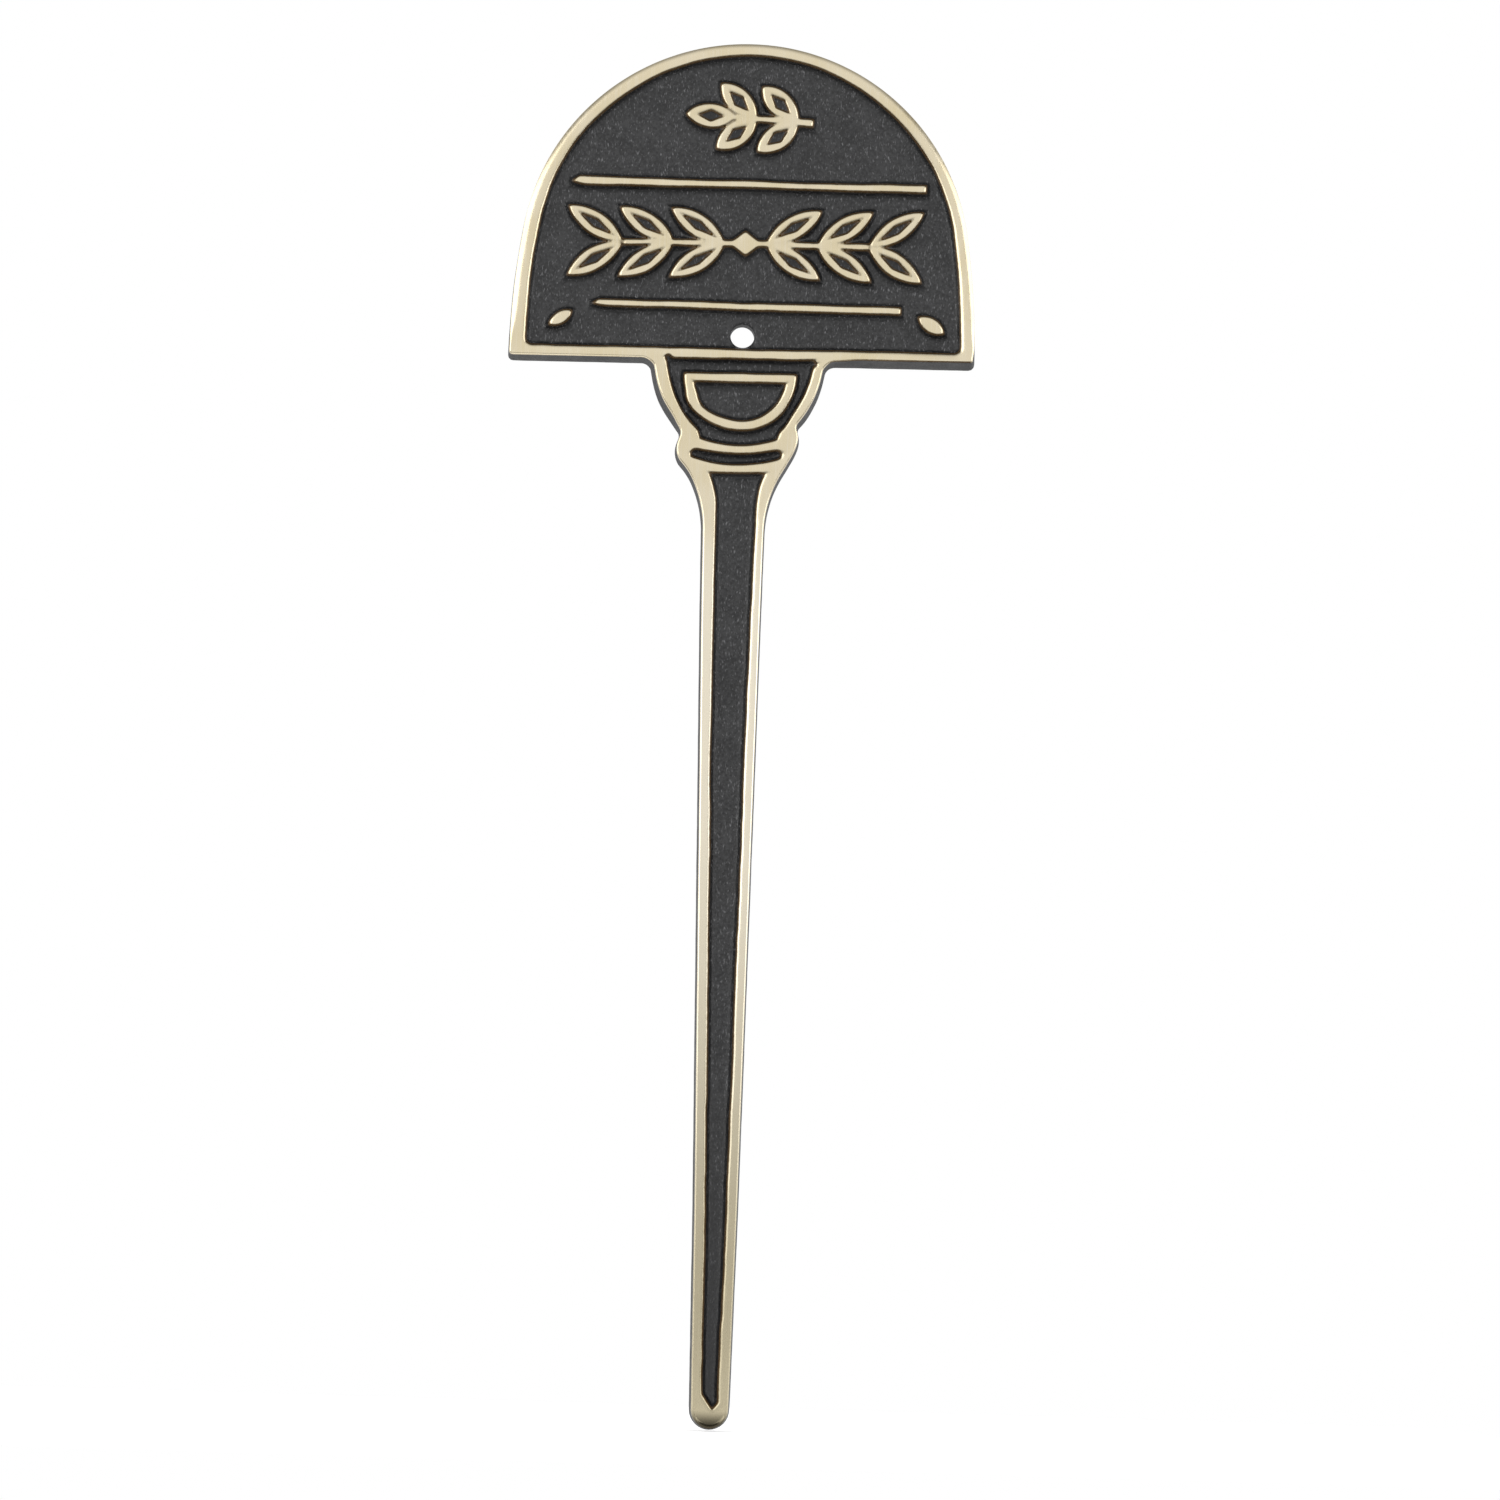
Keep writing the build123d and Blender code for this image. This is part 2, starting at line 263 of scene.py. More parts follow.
def castingRun():
    foot = brassLow[1]
    tip = outline["tipHalf"]
    flareFoot = foot + outline["stakeLength"]
    collarFoot = flareFoot + outline["flareHeight"]
    neck = collarFoot + outline["collarHeight"]
    base = neck + outline["cupHeight"]
    flank = np.array(((tip, foot + tip), (outline["stakeHalf"], flareFoot)))
    flare = tangentArc(flank[1], flank[1] - flank[0], (outline["collarFootHalf"], collarFoot))
    collarSide = (outline["collarHalf"], (collarFoot + neck) / 2)
    collarTop = (outline["neckHalf"], neck)
    collar = arcRun(centreThrough(flare[-1], collarSide, collarTop), flare[-1], collarTop)
    cup = bulgedArc(collarTop, (outline["cupHalf"], base), outline["cupSwell"])
    underside = ((outline["cupHalf"], base), (brassHigh[0], base))
    side, crown = archRuns(brassHigh[0], base, brassHigh[1])
    point = arcRun((0, foot + tip), (0, foot), (tip, foot + tip))
    radii = (0, 0, 0, outline["neckRadius"], outline["cupRootRadius"], outline["headCornerRadius"], 0)
    return joinedRuns([point, flank, flare, collar, cup, underside, side, crown], radii), base


castingEdge, headBase = castingRun()


def outlineField():  # depth inside the painted edge at the back, and the places it is known at
    low = np.array((-backHigh[0] - 1, -1.0))
    u, v = gridOver(low, (backHigh[0] + 1, backHigh[1] + 1))
    values = np.full(u.shape, farOutside)
    near = (v > headBase - 4) | (np.abs(u) < outline["cupHalf"] + 2)
    values[near] = mirroredField(castingEdge, *straightened(u[near], v[near])) + edgeCoat - outline["fettled"]
    values[near] -= outline["unevenness"] * (0.5 + uneven(u[near], v[near], "outline") / 3)
    return {"low": low, "values": values}, (u, v)


edgeField, edgePlaces = outlineField()

moreDraft = {  # how much further in the front edge lies
    "cupLeft": 0.42,
    "cupRight": 0.26,
    "cupSpan": (-13.5, -9.5, -1.2, 0.4),  # mm above the plate's base
    "footRight": 0.3,
    "footReach": (17.0, 22.0),
    "footSpan": (1.5, 4.0),
}


def extraDraft(u, v):
    onCup = upAndDown(v - headBase, moreDraft["cupSpan"])
    onCup = onCup * np.where(u < 0, moreDraft["cupLeft"], moreDraft["cupRight"])
    onFoot = easedShare(u, moreDraft["footReach"]) * moreDraft["footRight"]
    return np.maximum(onCup, onFoot * (1 - easedShare(v - headBase, moreDraft["footSpan"])))


frontField = {"low": edgeField["low"], "values": edgeField["values"] - extraDraft(*edgePlaces)}
print("outline drawn")


# Recesses: each field is positive where the black enamel lies

wobble = {
    "drift": 0.11,  # how far hand-cut lines wander
    "driftLength": 11.0,
    "fineDrift": 0.4,  # share of it that comes and goes faster
    "fineLength": 4.3,
    "swell": 0.05,  # how much they thicken and thin
    "swellLength": 2.6,
}


def handCut(u, v, seed):  # the places that hand-cut lines wander to
    du, dv = (
        castNoise(u, v, wobble["driftLength"], first)
        + wobble["fineDrift"] * castNoise(u, v, wobble["fineLength"], first + 1)
        for first in (seed, seed + 2)
    )
    u, v = straightened(u, v)
    return u + wobble["drift"] * du, v + wobble["drift"] * dv


def recess(low, high, shape, seed, cornerRadius):
    low, high = np.array(low) - windowMargin, np.array(high) + windowMargin
    u, v = gridOver(low, high)
    values = shape(*handCut(u, v, seed)) + wobble["swell"] * castNoise(u, v, wobble["swellLength"], seed + 4)
    return {"low": low, "values": softened(values, cornerRadius)}


plate = {
    "fieldCornerRadius": 1.2,
    "fieldStretch": 0.3,  # the right rim is narrower than the left one
    "ruleRise": 10.4,  # lower rule above the plate's base
    "panelHeight": 22.9,
    "upperRule": {"endGap": 3.0, "left": 1.65, "right": 1.45, "waist": 0.3, "nib": 1.3, "shift": 0.45,
                  "drop": 0.36, "tilt": -0.004},
    "lowerRule": {"endGap": 11.1, "left": 1.2, "right": 1.4, "waist": 0.0, "nib": 1.1, "shift": 0.6,
                  "drop": 0.22, "tilt": -0.0075},
    "marks": ({"side": -1, "length": 5.0, "width": 2.2}, {"side": 1, "length": 5.8, "width": 2.7}),
    "mark": {"angle": 33.0, "sideGap": 5.7, "rise": 5.2, "shift": 0.5},
    "garland": {
        "ruleGap": 3.2, "stemWidth": 1.1, "knotLength": 6.0, "knotWidth": 4.6,
        "leafAngle": 33.0, "leafWidth": 4.1, "leafPitch": 9.4, "leafStart": 3.8, "pairs": 3,
    },
    "sprig": {
        "stemLength": 18.0, "stemWidth": 0.9, "stemFootWidth": 1.5, "tilt": 3.0,
        "leafLength": 9.4, "leafWidth": 4.5, "leafAngle": 41.0, "leafPitch": 7.6, "pairs": 2,
    },
    "nibCut": {"over": 0.55, "under": 0.4, "longer": 2.6},  # shares of a rule's width and of its nib
    "vein": {"lengthMargin": 2.3, "widthMargin": 1.2},
}

fieldLow, fieldHigh = nodeSpan("head_enamel")
lowerRule = headBase + plate["ruleRise"]
upperRule = lowerRule + plate["panelHeight"]
garlandLevel = (lowerRule + upperRule) / 2
fieldRun = joinedRuns(
    [((0, fieldLow[1]), (fieldHigh[0], fieldLow[1])), *archRuns(fieldHigh[0], fieldLow[1], fieldHigh[1])],
    (plate["fieldCornerRadius"], 0),
)


def fieldHalfAt(level):  # half width of the plate's recess
    rising = fieldRun[fieldRun[:, 1] > fieldLow[1] + plate["fieldCornerRadius"]]
    return np.interp(level, rising[:, 1], rising[:, 0])


def placed(u, v, place):  # points as seen from a shape's own origin and direction
    du, dv, turn = u - place[0], v - place[1], math.radians(place[2])
    return du * math.cos(turn) + dv * math.sin(turn), dv * math.cos(turn) - du * math.sin(turn)


def leafField(x, y, length, width):  # two arcs that meet in points, stalk at the origin
    radius = (length**2 + width**2) / (4 * width)
    offset = radius - width / 2
    return radius - np.maximum(np.hypot(x - length / 2, y - offset), np.hypot(x - length / 2, y + offset))


def lozengeField(x, y, length, width):
    slant = math.hypot(length, width)
    return (length * width / 2 - np.abs(x) * width - np.abs(y) * length) / slant


def barField(x, y, length, width):  # round-ended bar
    return width / 2 - np.hypot(np.maximum(np.abs(x) - (length - width) / 2, 0), y)


def ruleField(x, y, half, rule):  # tapered bar, its left end cut like a pen nib
    along = x + half
    share = np.clip(along / (2 * half), 0, 1)
    width = rule["left"] + (rule["right"] - rule["left"]) * share - 4 * rule["waist"] * share * (1 - share)
    cut = plate["nibCut"]
    over = np.clip(1 - along / rule["nib"], 0, 1) * rule["left"] * cut["over"]
    under = np.clip(1 - along / (cut["longer"] * rule["nib"]), 0, 1) ** 2 * rule["left"] * cut["under"]
    return np.minimum(half - np.abs(x), np.minimum(width / 2 - y - over, width / 2 + y - under))


def garlandLeaves():  # place, length and width of each leaf
    garland = plate["garland"]
    width, slant = garland["leafWidth"], garland["leafAngle"]
    angle = math.radians(slant)
    reach = plate["panelHeight"] / 2 - garland["ruleGap"]
    length = (reach - width / 2 * math.cos(angle)) / math.sin(angle)
    starts = [garland["leafStart"] + garland["leafPitch"] * i for i in range(garland["pairs"])]
    return [
        ((side * start, garlandLevel, 90 - side * 90 + turn * slant), length, width)
        for start in starts
        for side in (1, -1)
        for turn in (1, -1)
    ]


def sprigPlace():  # middle and heading of the sprig's stem
    sprig = plate["sprig"]
    across = (sprig["leafLength"] - sprig["leafPitch"] / 2) / 2
    return across, (upperRule + fieldHigh[1]) / 2, 180 - sprig["tilt"]


def sprigLeaves():  # place, length and width of each leaf, the last one at the stem's end
    sprig = plate["sprig"]
    *middle, heading = sprigPlace()
    along = np.array((math.cos(math.radians(heading)), math.sin(math.radians(heading))))
    pitch, stemHalf = sprig["leafPitch"], sprig["stemLength"] / 2
    first = stemHalf - pitch * sprig["pairs"]
    spots = [
        (first + pitch * i, turn * sprig["leafAngle"])
        for i in range(sprig["pairs"])
        for turn in (1, -1)
    ]
    spots.append((stemHalf - pitch / 2, 0))
    return [
        ((*(np.array(middle) + along * reach), heading + turn), sprig["leafLength"], sprig["leafWidth"])
        for reach, turn in spots
    ]


def reliefField(u, v):  # everything that stands up out of the plate's recess
    garland, sprig, mark = plate["garland"], plate["sprig"], plate["mark"]
    shapes = [leafField(*placed(u, v, place), *size) for place, *size in garlandLeaves() + sprigLeaves()]
    stemHalf = garland["leafStart"] + garland["leafPitch"] * (garland["pairs"] - 1)
    rise = v - garlandLevel
    shapes.append(np.minimum(stemHalf - np.abs(u), garland["stemWidth"] / 2 - np.abs(rise)))
    shapes.append(lozengeField(u, rise, garland["knotLength"], garland["knotWidth"]))
    x, y = placed(u, v, sprigPlace())
    wide, narrow = sprig["stemFootWidth"], sprig["stemWidth"]
    stemWidth = wide + (narrow - wide) * (x / sprig["stemLength"] + 0.5)
    shapes.append(np.minimum(sprig["stemLength"] / 2 - np.abs(x), stemWidth / 2 - np.abs(y)))
    for level, rule in ((upperRule, plate["upperRule"]), (lowerRule, plate["lowerRule"])):
        rise = v - level + rule["drop"] - rule["tilt"] * u
        shapes.append(ruleField(u - rule["shift"], rise, fieldHalfAt(level) - rule["endGap"], rule))
    for each in plate["marks"]:
        across = each["side"] * (fieldHigh[0] - mark["sideGap"]) + mark["shift"]
        x, y = placed(u, v, (across, fieldLow[1] + mark["rise"], -each["side"] * mark["angle"]))
        shapes.append(leafField(x + each["length"] / 2, y, each["length"], each["width"]))
    return np.maximum.reduce(shapes)


def veinField(u, v):
    vein = plate["vein"]
    shapes = []
    for place, length, width in garlandLeaves() + sprigLeaves():
        x, y = placed(u, v, place)
        cut = (length - 2 * vein["lengthMargin"], width - 2 * vein["widthMargin"])
        shapes.append(lozengeField(x - length / 2, y, *cut))
    return np.maximum.reduce(shapes)


cup = {
    "rim": 2.3,
    "draftInset": 0.5255,
    "lift": 0.55,  # the hand-cut lines lie this much above the CAD ones
    "topRise": 0.2,
    "footHalf": 7.0,
    "footSag": 1.05,
    "kneeHalf": 7.5,
    "kneeRise": 2.6,
    "swell": 1.35,
    "reach": 0.6,  # the upper right corner lies further out
    "flatter": 0.4,  # the left side swells less
    # nicks at the upper corners: place, angle, length and width
    "spurs": ((-12.85, -0.05, 145.0, 1.6, 1.1), (13.3, -0.7, -5.0, 2.2, 0.7)),
    "shift": 0.4,  # the ring sits to the right of the middle
    "fuller": 0.8,  # and swells more at its lower left
    "fullerWidth": 6.0,
    "fullerDepth": (0.3, 0.66),
    "centreRise": 0.22,
    "centreWider": 0.1,
    "centreSag": 0.28,
    "ringTopGap": 2.5,
    "ringHalf": 10.3,
    "ringDrop": 10.5,
}

channelLow, channelHigh = (end + (0, cup["lift"]) for end in nodeSpan("cup_channel_enamel"))
centreLow, centreHigh = (end + (0, cup["lift"]) for end in nodeSpan("cup_centre_enamel"))


def bowlField(u, v, half, top, drop):  # half-round shape that hangs from a level line
    radius = (half**2 + drop**2) / (2 * drop)
    fuller = spanShare(-u, (0, cup["fullerWidth"])) * spanShare((top - v) / drop, cup["fullerDepth"])
    return np.minimum(top - v, radius - np.hypot(u + cup["fuller"] * fuller, v - (top - drop + radius)))


def channelField(u, v):
    topHalf = outline["cupHalf"] - cup["draftInset"] - cup["rim"]
    top, foot = channelHigh[1] + cup["topRise"], channelLow[1]
    corner, knee = (cup["footHalf"], foot + cup["footSag"]), (cup["kneeHalf"], foot + cup["kneeRise"])
    footArc = arcRun(centreThrough((0, foot), corner, (-corner[0], corner[1])), (0, foot), corner)
    side = bulgedArc(knee, (topHalf, top), cup["swell"])
    run = joinedRuns([footArc, (corner, knee), side, ((topHalf, top), (0, top))], (0, 0, 0))
    rise = spanShare(v, (knee[1], top))
    outward = cup["reach"] * spanShare(u, (0, topHalf)) * rise
    inward = cup["flatter"] * spanShare(-u, (0, topHalf)) * 4 * rise * (1 - rise)
    shape = mirroredField(run, u - outward - inward, v)
    for across, rise, angle, length, width in cup["spurs"]:
        shape = np.maximum(shape, barField(*placed(u, v, (across, top + rise, angle)), length, width))
    ringTop = channelHigh[1] - cup["ringTopGap"]
    ring = bowlField(u - cup["shift"], v, cup["ringHalf"], ringTop, cup["ringDrop"])
    return np.minimum(shape, -ring)


def centreField(u, v):
    top = centreHigh[1] + cup["centreRise"]
    half, drop = centreHigh[0] + cup["centreWider"], top - centreLow[1] + cup["centreSag"]
    return bowlField(u - cup["shift"], v, half, top, drop)


crescent = {"endHeight": 1.75, "endRise": 0.95, "lift": 0.05, "wider": 0.15, "thicker": 0.15}
crescentLow, crescentHigh = (end + (0, crescent["lift"]) for end in nodeSpan("collar_enamel"))


def crescentField(u, v):  # sagging groove with round ends
    thick = crescentHigh[1] - crescent["endRise"] + crescent["thicker"] - crescentLow[1]
    half = crescentHigh[0] + crescent["wider"] - crescent["endHeight"] / 2
    middle = (0, crescentLow[1] + thick / 2)
    end = (half, middle[1] + crescent["endRise"])
    run = arcRun(centreThrough((-half, end[1]), middle, end), middle, end)
    reach = thick / 2 + (crescent["endHeight"] - thick) / 2 * np.clip(u / half, -1, 1) ** 2
    return reach - runDistance(run, np.abs(u), v)


stake = {
    "rim": 1.68,
    "flare": 6.7,
    "point": 1.75,
    "lift": 0.2,
    "shift": 0.35,  # the top of the recess sits to the right of the middle
    "shiftSpan": (115.0, 167.0),
    "nick": ((-1.75, 7.0), (-0.45, 5.0)),
}
stakeLow, stakeHigh = nodeSpan("stake_enamel")
stakeHigh = stakeHigh + (0, stake["lift"])


def stakeField(u, v):
    foot, tip = brassLow[1], outline["tipHalf"]
    levels = (stakeLow[1] + stake["point"], stakeHigh[1] - stake["flare"])
    spread = (outline["stakeHalf"] - tip) / (outline["stakeLength"] - tip)
    gap = cup["draftInset"] + stake["rim"]
    low, high = ((tip + spread * (level - foot - tip) - gap, level) for level in levels)
    flare = tangentArc(high, np.subtract(high, low), stakeHigh)
    run = [((0, stakeLow[1]), low), (low, high), flare, (stakeHigh, (0, stakeHigh[1]))]
    (au, av), (bu, bv) = stake["nick"]  # the left flank comes in early, as a hand-cut corner
    length = math.hypot(bu - au, bv - av)
    cut = ((u - au) * (av - bv) + (v - av) * (bu - au)) / length
    middle = stake["shift"] * spanShare(v, stake["shiftSpan"])
    return np.minimum(mirroredField(joinedRuns(run, (0, 0, 0)), u - middle, v), cut)


def plateField(u, v):
    stretched = u - plate["fieldStretch"] * spanShare(u, (0, fieldHigh[0]))
    return np.minimum(mirroredField(fieldRun, stretched, v), -reliefField(u, v))


# brass side levels are negative, enamel side levels positive
wallLevels = (-1.0, -0.78, -0.58, -0.41, -0.26, -0.12, 0, 0.09, 0.2, 0.33, 0.48, 0.66, 0.88)
veinLevels = (-0.3, -0.15, 0, 0.1, 0.22, 0.36)
recesses = {
    "head_enamel": (recess(fieldLow, fieldHigh, plateField, 11, 0.24), wallLevels),
    "leaf_vein_enamel": (recess(fieldLow, fieldHigh, veinField, 11, 0.16), veinLevels),
    "cup_channel_enamel": (recess(channelLow, channelHigh, channelField, 21, 0.24), wallLevels),
    "cup_centre_enamel": (recess(centreLow, centreHigh, centreField, 21, 0.24), wallLevels),
    "collar_enamel": (recess(crescentLow, crescentHigh, crescentField, 31, 0.36), wallLevels),
    "stake_enamel": (recess(stakeLow, stakeHigh, stakeField, 41, 0.24), wallLevels),
}
print("recesses drawn")


# Contours of a field

# for each pattern of corners above the level: from edge, to edge (0 foot, 1 right, 2 top, 3 left)
cellRuns = {
    1: ((0, 3),), 2: ((1, 0),), 3: ((1, 3),), 4: ((2, 1),), 5: ((0, 3), (2, 1)), 6: ((2, 0),), 7: ((2, 3),),
    8: ((3, 2),), 9: ((0, 2),), 10: ((1, 0), (3, 2)), 11: ((1, 2),), 12: ((3, 1),), 13: ((0, 1),),
    14: ((3, 0),),
}


def contourLoops(field, level):  # closed loops at a level, higher side on the left
    values = field["values"] - level
    rows, columns = values.shape
    high = values > 0
    corners = (high[:-1, :-1], high[:-1, 1:], high[1:, 1:], high[1:, :-1])
    pattern = sum(corner.astype(int) << bit for bit, corner in enumerate(corners))
    upright = rows * columns  # numbers above this are edges that run up
    following = {}
    for kind, runs in cellRuns.items():
        i, j = np.nonzero(pattern == kind)
        foot, left = i * columns + j, upright + i * columns + j
        numbers = (foot, left + 1, foot + columns, left)
        for first, last in runs:
            following.update(zip(numbers[first].tolist(), numbers[last].tolist()))
    loops = []
    while following:
        start, number = following.popitem()
        loop = [start]
        while number != start:
            loop.append(number)
            number = following.pop(number)
        loop = np.array(loop)
        up = loop >= upright
        i, j = np.divmod(loop - up * upright, columns)
        a, b = values[i, j], values[i + up, j + ~up]
        share = a / (a - b)
        points = np.column_stack((j + share * ~up, i + share * up)) * gridStep + field["low"]
        loops.append(points)
    return loops


# millimetres between points: along loops, on floors and on tops
spacing = {"fine": 0.07, "tight": 0.17, "wide": 0.6, "turn": math.radians(13), "floor": 0.5, "top": 0.75}


def stepLengths(loop):  # from each point of a closed loop to the next
    return np.linalg.norm(np.roll(loop, -1, 0) - loop, axis=1)


def spreadRound(loop, steps, count):  # count points round a closed loop, even over the given steps
    closed = np.vstack((loop, loop[:1]))
    along = np.concatenate(((0,), np.cumsum(steps)))
    places = np.arange(count) * along[-1] / count
    return np.column_stack([np.interp(places, along, closed[:, k]) for k in (0, 1)])


def evenLoop(points, gap):  # the same loop with points gap apart
    steps = stepLengths(points)
    return spreadRound(points, steps, max(8, int(np.cumsum(steps)[-1] / gap)))


def blurLoop(values, width):  # values round a loop, blurred over width points
    reach = int(3 * width) + 1
    kernel = np.exp(-0.5 * (np.arange(-reach, reach + 1) / width) ** 2)
    wrapped = np.take(values, np.arange(-reach, len(values) + reach), axis=0, mode="wrap")
    return np.apply_along_axis(lambda line: np.convolve(line, kernel / kernel.sum(), "valid"), 0, wrapped)


def meshLoop(points):  # points close together round bends and wide apart on straights
    fine = blurLoop(evenLoop(points, spacing["fine"]), 1.6)
    if len(fine) < 12:
        return None
    heading = np.roll(fine, -1, 0) - np.roll(fine, 1, 0)
    angle = np.arctan2(heading[:, 1], heading[:, 0])
    turn = np.abs((np.roll(angle, -2) - np.roll(angle, 2) + math.pi) % (2 * math.pi) - math.pi)
    bend = blurLoop(turn, 4) / (4 * spacing["fine"])
    gaps = np.clip(spacing["turn"] / np.maximum(bend, 1e-6), spacing["tight"], spacing["wide"])
    density = blurLoop(1 / gaps, 4) * stepLengths(fine)
    return spreadRound(fine, density, max(8, int(round(np.cumsum(density)[-1]))))


# Section of the casting

section = {
    "draft": math.radians(4.5),
    "edgeRoll": {  # outer edge, rolled over by the linishing belt, and how deep it is bare brass
        "stake": {"across": 0.28, "drop": 0.28, "bare": 0.6},
        "plate": {"across": 1.35, "drop": 0.45, "bare": 1.7},
        "span": (2.0, 9.0),  # mm above the plate's base, from the one to the other
    },
    "edgeStart": 0.28,  # how far from the upright edge the front mesh ends
    "edgeClear": 1.1,  # how far that edge is from the paint below it
    "bareFoot": (0.5, 0.06),  # bare depth under the plate, from its left to its right end
    "backRadius": 0.4,
    # stainReach is how far out over the brass a recess draws its brown line
    "wall": {"depth": 1.45, "slope": math.radians(24), "footRoll": 0.5, "stainReach": farOutside},
    "stakeRoll": (0.52, 0.68),  # edge of the brass beside a recess: left rim and right rim
    "stakeRollReach": (-2.0, 2.0),
    "plateRoll": (0.78, 1.1),  # most at its lower right
    "plateRollReach": (20.0, 37.0),
    "plateRollSpan": (10.0, 34.0),  # mm above the plate's base
    "plateStart": (0.4, 1.6),
    "reliefRoll": 0.62,
    "sharper": 0.6,  # how much less the edges that face down are rubbed
    "reliefSpan": (4.2, 5.8),  # from the outer edge
    "vein": {"depth": 0.5, "slope": math.radians(24), "topRoll": 0.45, "footRoll": 0.2, "stainReach": -0.6},
    "film": 0.13,
    "filmGap": 0.004,
    "holeRoll": 0.45,
    "holeDrop": 0.35,
    "topWear": 0.02,
    "sandDepth": 0.05,
    "backWave": 0.0275,
    "noseDrop": 1.1,  # the point is worn down towards its end
    "noseLength": 4.2,
}
holeCentre = np.array((0.0, frame["record"]["mounts"][0]["pos_m"][2] / mm))
holeRadius = frame["record"]["mounts"][0]["dims"]["r_mm"]


def edgeSize(key, v):  # a size of the outer edge's roll, which is wide on the plate's rim
    low, high = section["edgeRoll"]["stake"][key], section["edgeRoll"]["plate"][key]
    return low + (high - low) * easedShare(v - headBase, section["edgeRoll"]["span"])


def wallTop(v):  # place of the upright edge where it starts to roll
    return (front - edgeSize("drop", v)) * math.tan(section["draft"])


frontInset = wallTop(0) + section["edgeStart"]


def rimRoll(u, v):  # the right rims are rubbed rounder than the left ones
    rise = v - headBase
    left, right = section["stakeRoll"]
    onStake = left + (right - left) * easedShare(u, section["stakeRollReach"])
    least, most = section["plateRoll"]
    lowRight = easedShare(u, section["plateRollReach"])
    lowRight = lowRight * (1 - easedShare(rise, section["plateRollSpan"]))
    onPlate = least + (most - least) * lowRight
    return onStake + (onPlate - onStake) * easedShare(rise, section["plateStart"])


def rolled(x, roll):  # a ramp that starts gently
    return 0.5 * (x + np.sqrt(x * x + roll * roll))


def wallDepth(inside, wall, topRoll):  # depth of the visible surface beside a recess's edge
    ramp = rolled(inside / math.tan(wall["slope"]), topRoll)
    return np.maximum(wall["depth"] - rolled(wall["depth"] - ramp, wall["footRoll"]), 0)


def frontDepth(u, v):  # depth below the front, paint film and distance to the nearest paint edge
    blend, film, fringe, rough = (np.zeros(u.shape) for _ in range(4))
    fringe -= farOutside
    edge, wall, vein = readField(frontField, u, v), section["wall"], section["vein"]
    relief = easedShare(edge, section["reliefSpan"])
    wallRoll = rimRoll(u, v) * (1 - relief) + section["reliefRoll"] * relief
    for name, (field, _) in recesses.items():
        inside = readField(field, u, v)
        isVein = name == "leaf_vein_enamel"
        below = readField(field, u, v - gridStep) - readField(field, u, v + gridStep)
        sharp = 1 - section["sharper"] * eased(below / (2 * gridStep))
        cut, topRoll = (vein, vein["topRoll"]) if isVein else (wall, wallRoll * sharp)
        blend += wallDepth(inside, cut, topRoll) ** 4 * (inside > -windowMargin)
        film = np.maximum(film, section["film"] * eased(inside / 0.2) * (0.5 if isVein else 1))
        near = (np.abs(inside) < np.abs(fringe)) & (inside > cut["stainReach"])
        fringe = np.where(near, -inside, fringe)
        rough = np.maximum(rough, eased((inside - 0.1) / 0.6) * (not isVein))
    inset = edge - wallTop(v)
    edgeRoll = edgeSize("drop", v) * np.clip(1 - inset / edgeSize("across", v), 0, 1) ** 2
    fromPaint = inset + section["edgeClear"]
    fringe = np.where(fromPaint < np.abs(fringe), fromPaint, fringe)
    clear = eased((inset - section["edgeStart"]) / 0.6)
    worn = section["topWear"] + uneven(u, v, "tops")
    depth = edgeRoll + clear * (blend**0.25 + worn * (1 - rough))
    depth -= rough * section["sandDepth"] * uneven(u, v, "floors")
    fromHole = np.hypot(u - holeCentre[0], v - holeCentre[1]) - holeRadius
    depth += section["holeDrop"] * (1 - eased(fromHole / section["holeRoll"])) ** 2
    depth += clear * section["noseDrop"] * np.clip(1 - v / section["noseLength"], 0, 1) ** 2
    return np.maximum(depth, 0), film * eased(fromHole / 0.3), fringe


# Front mesh: contours joined by triangles

edgeLevels = (0.1, 0.22, 0.38, 0.62, 1.0)  # past the rim of the front mesh
holeLevels = (0.1, 0.24, 0.42)  # past the rim of the hole
holeSides = 56


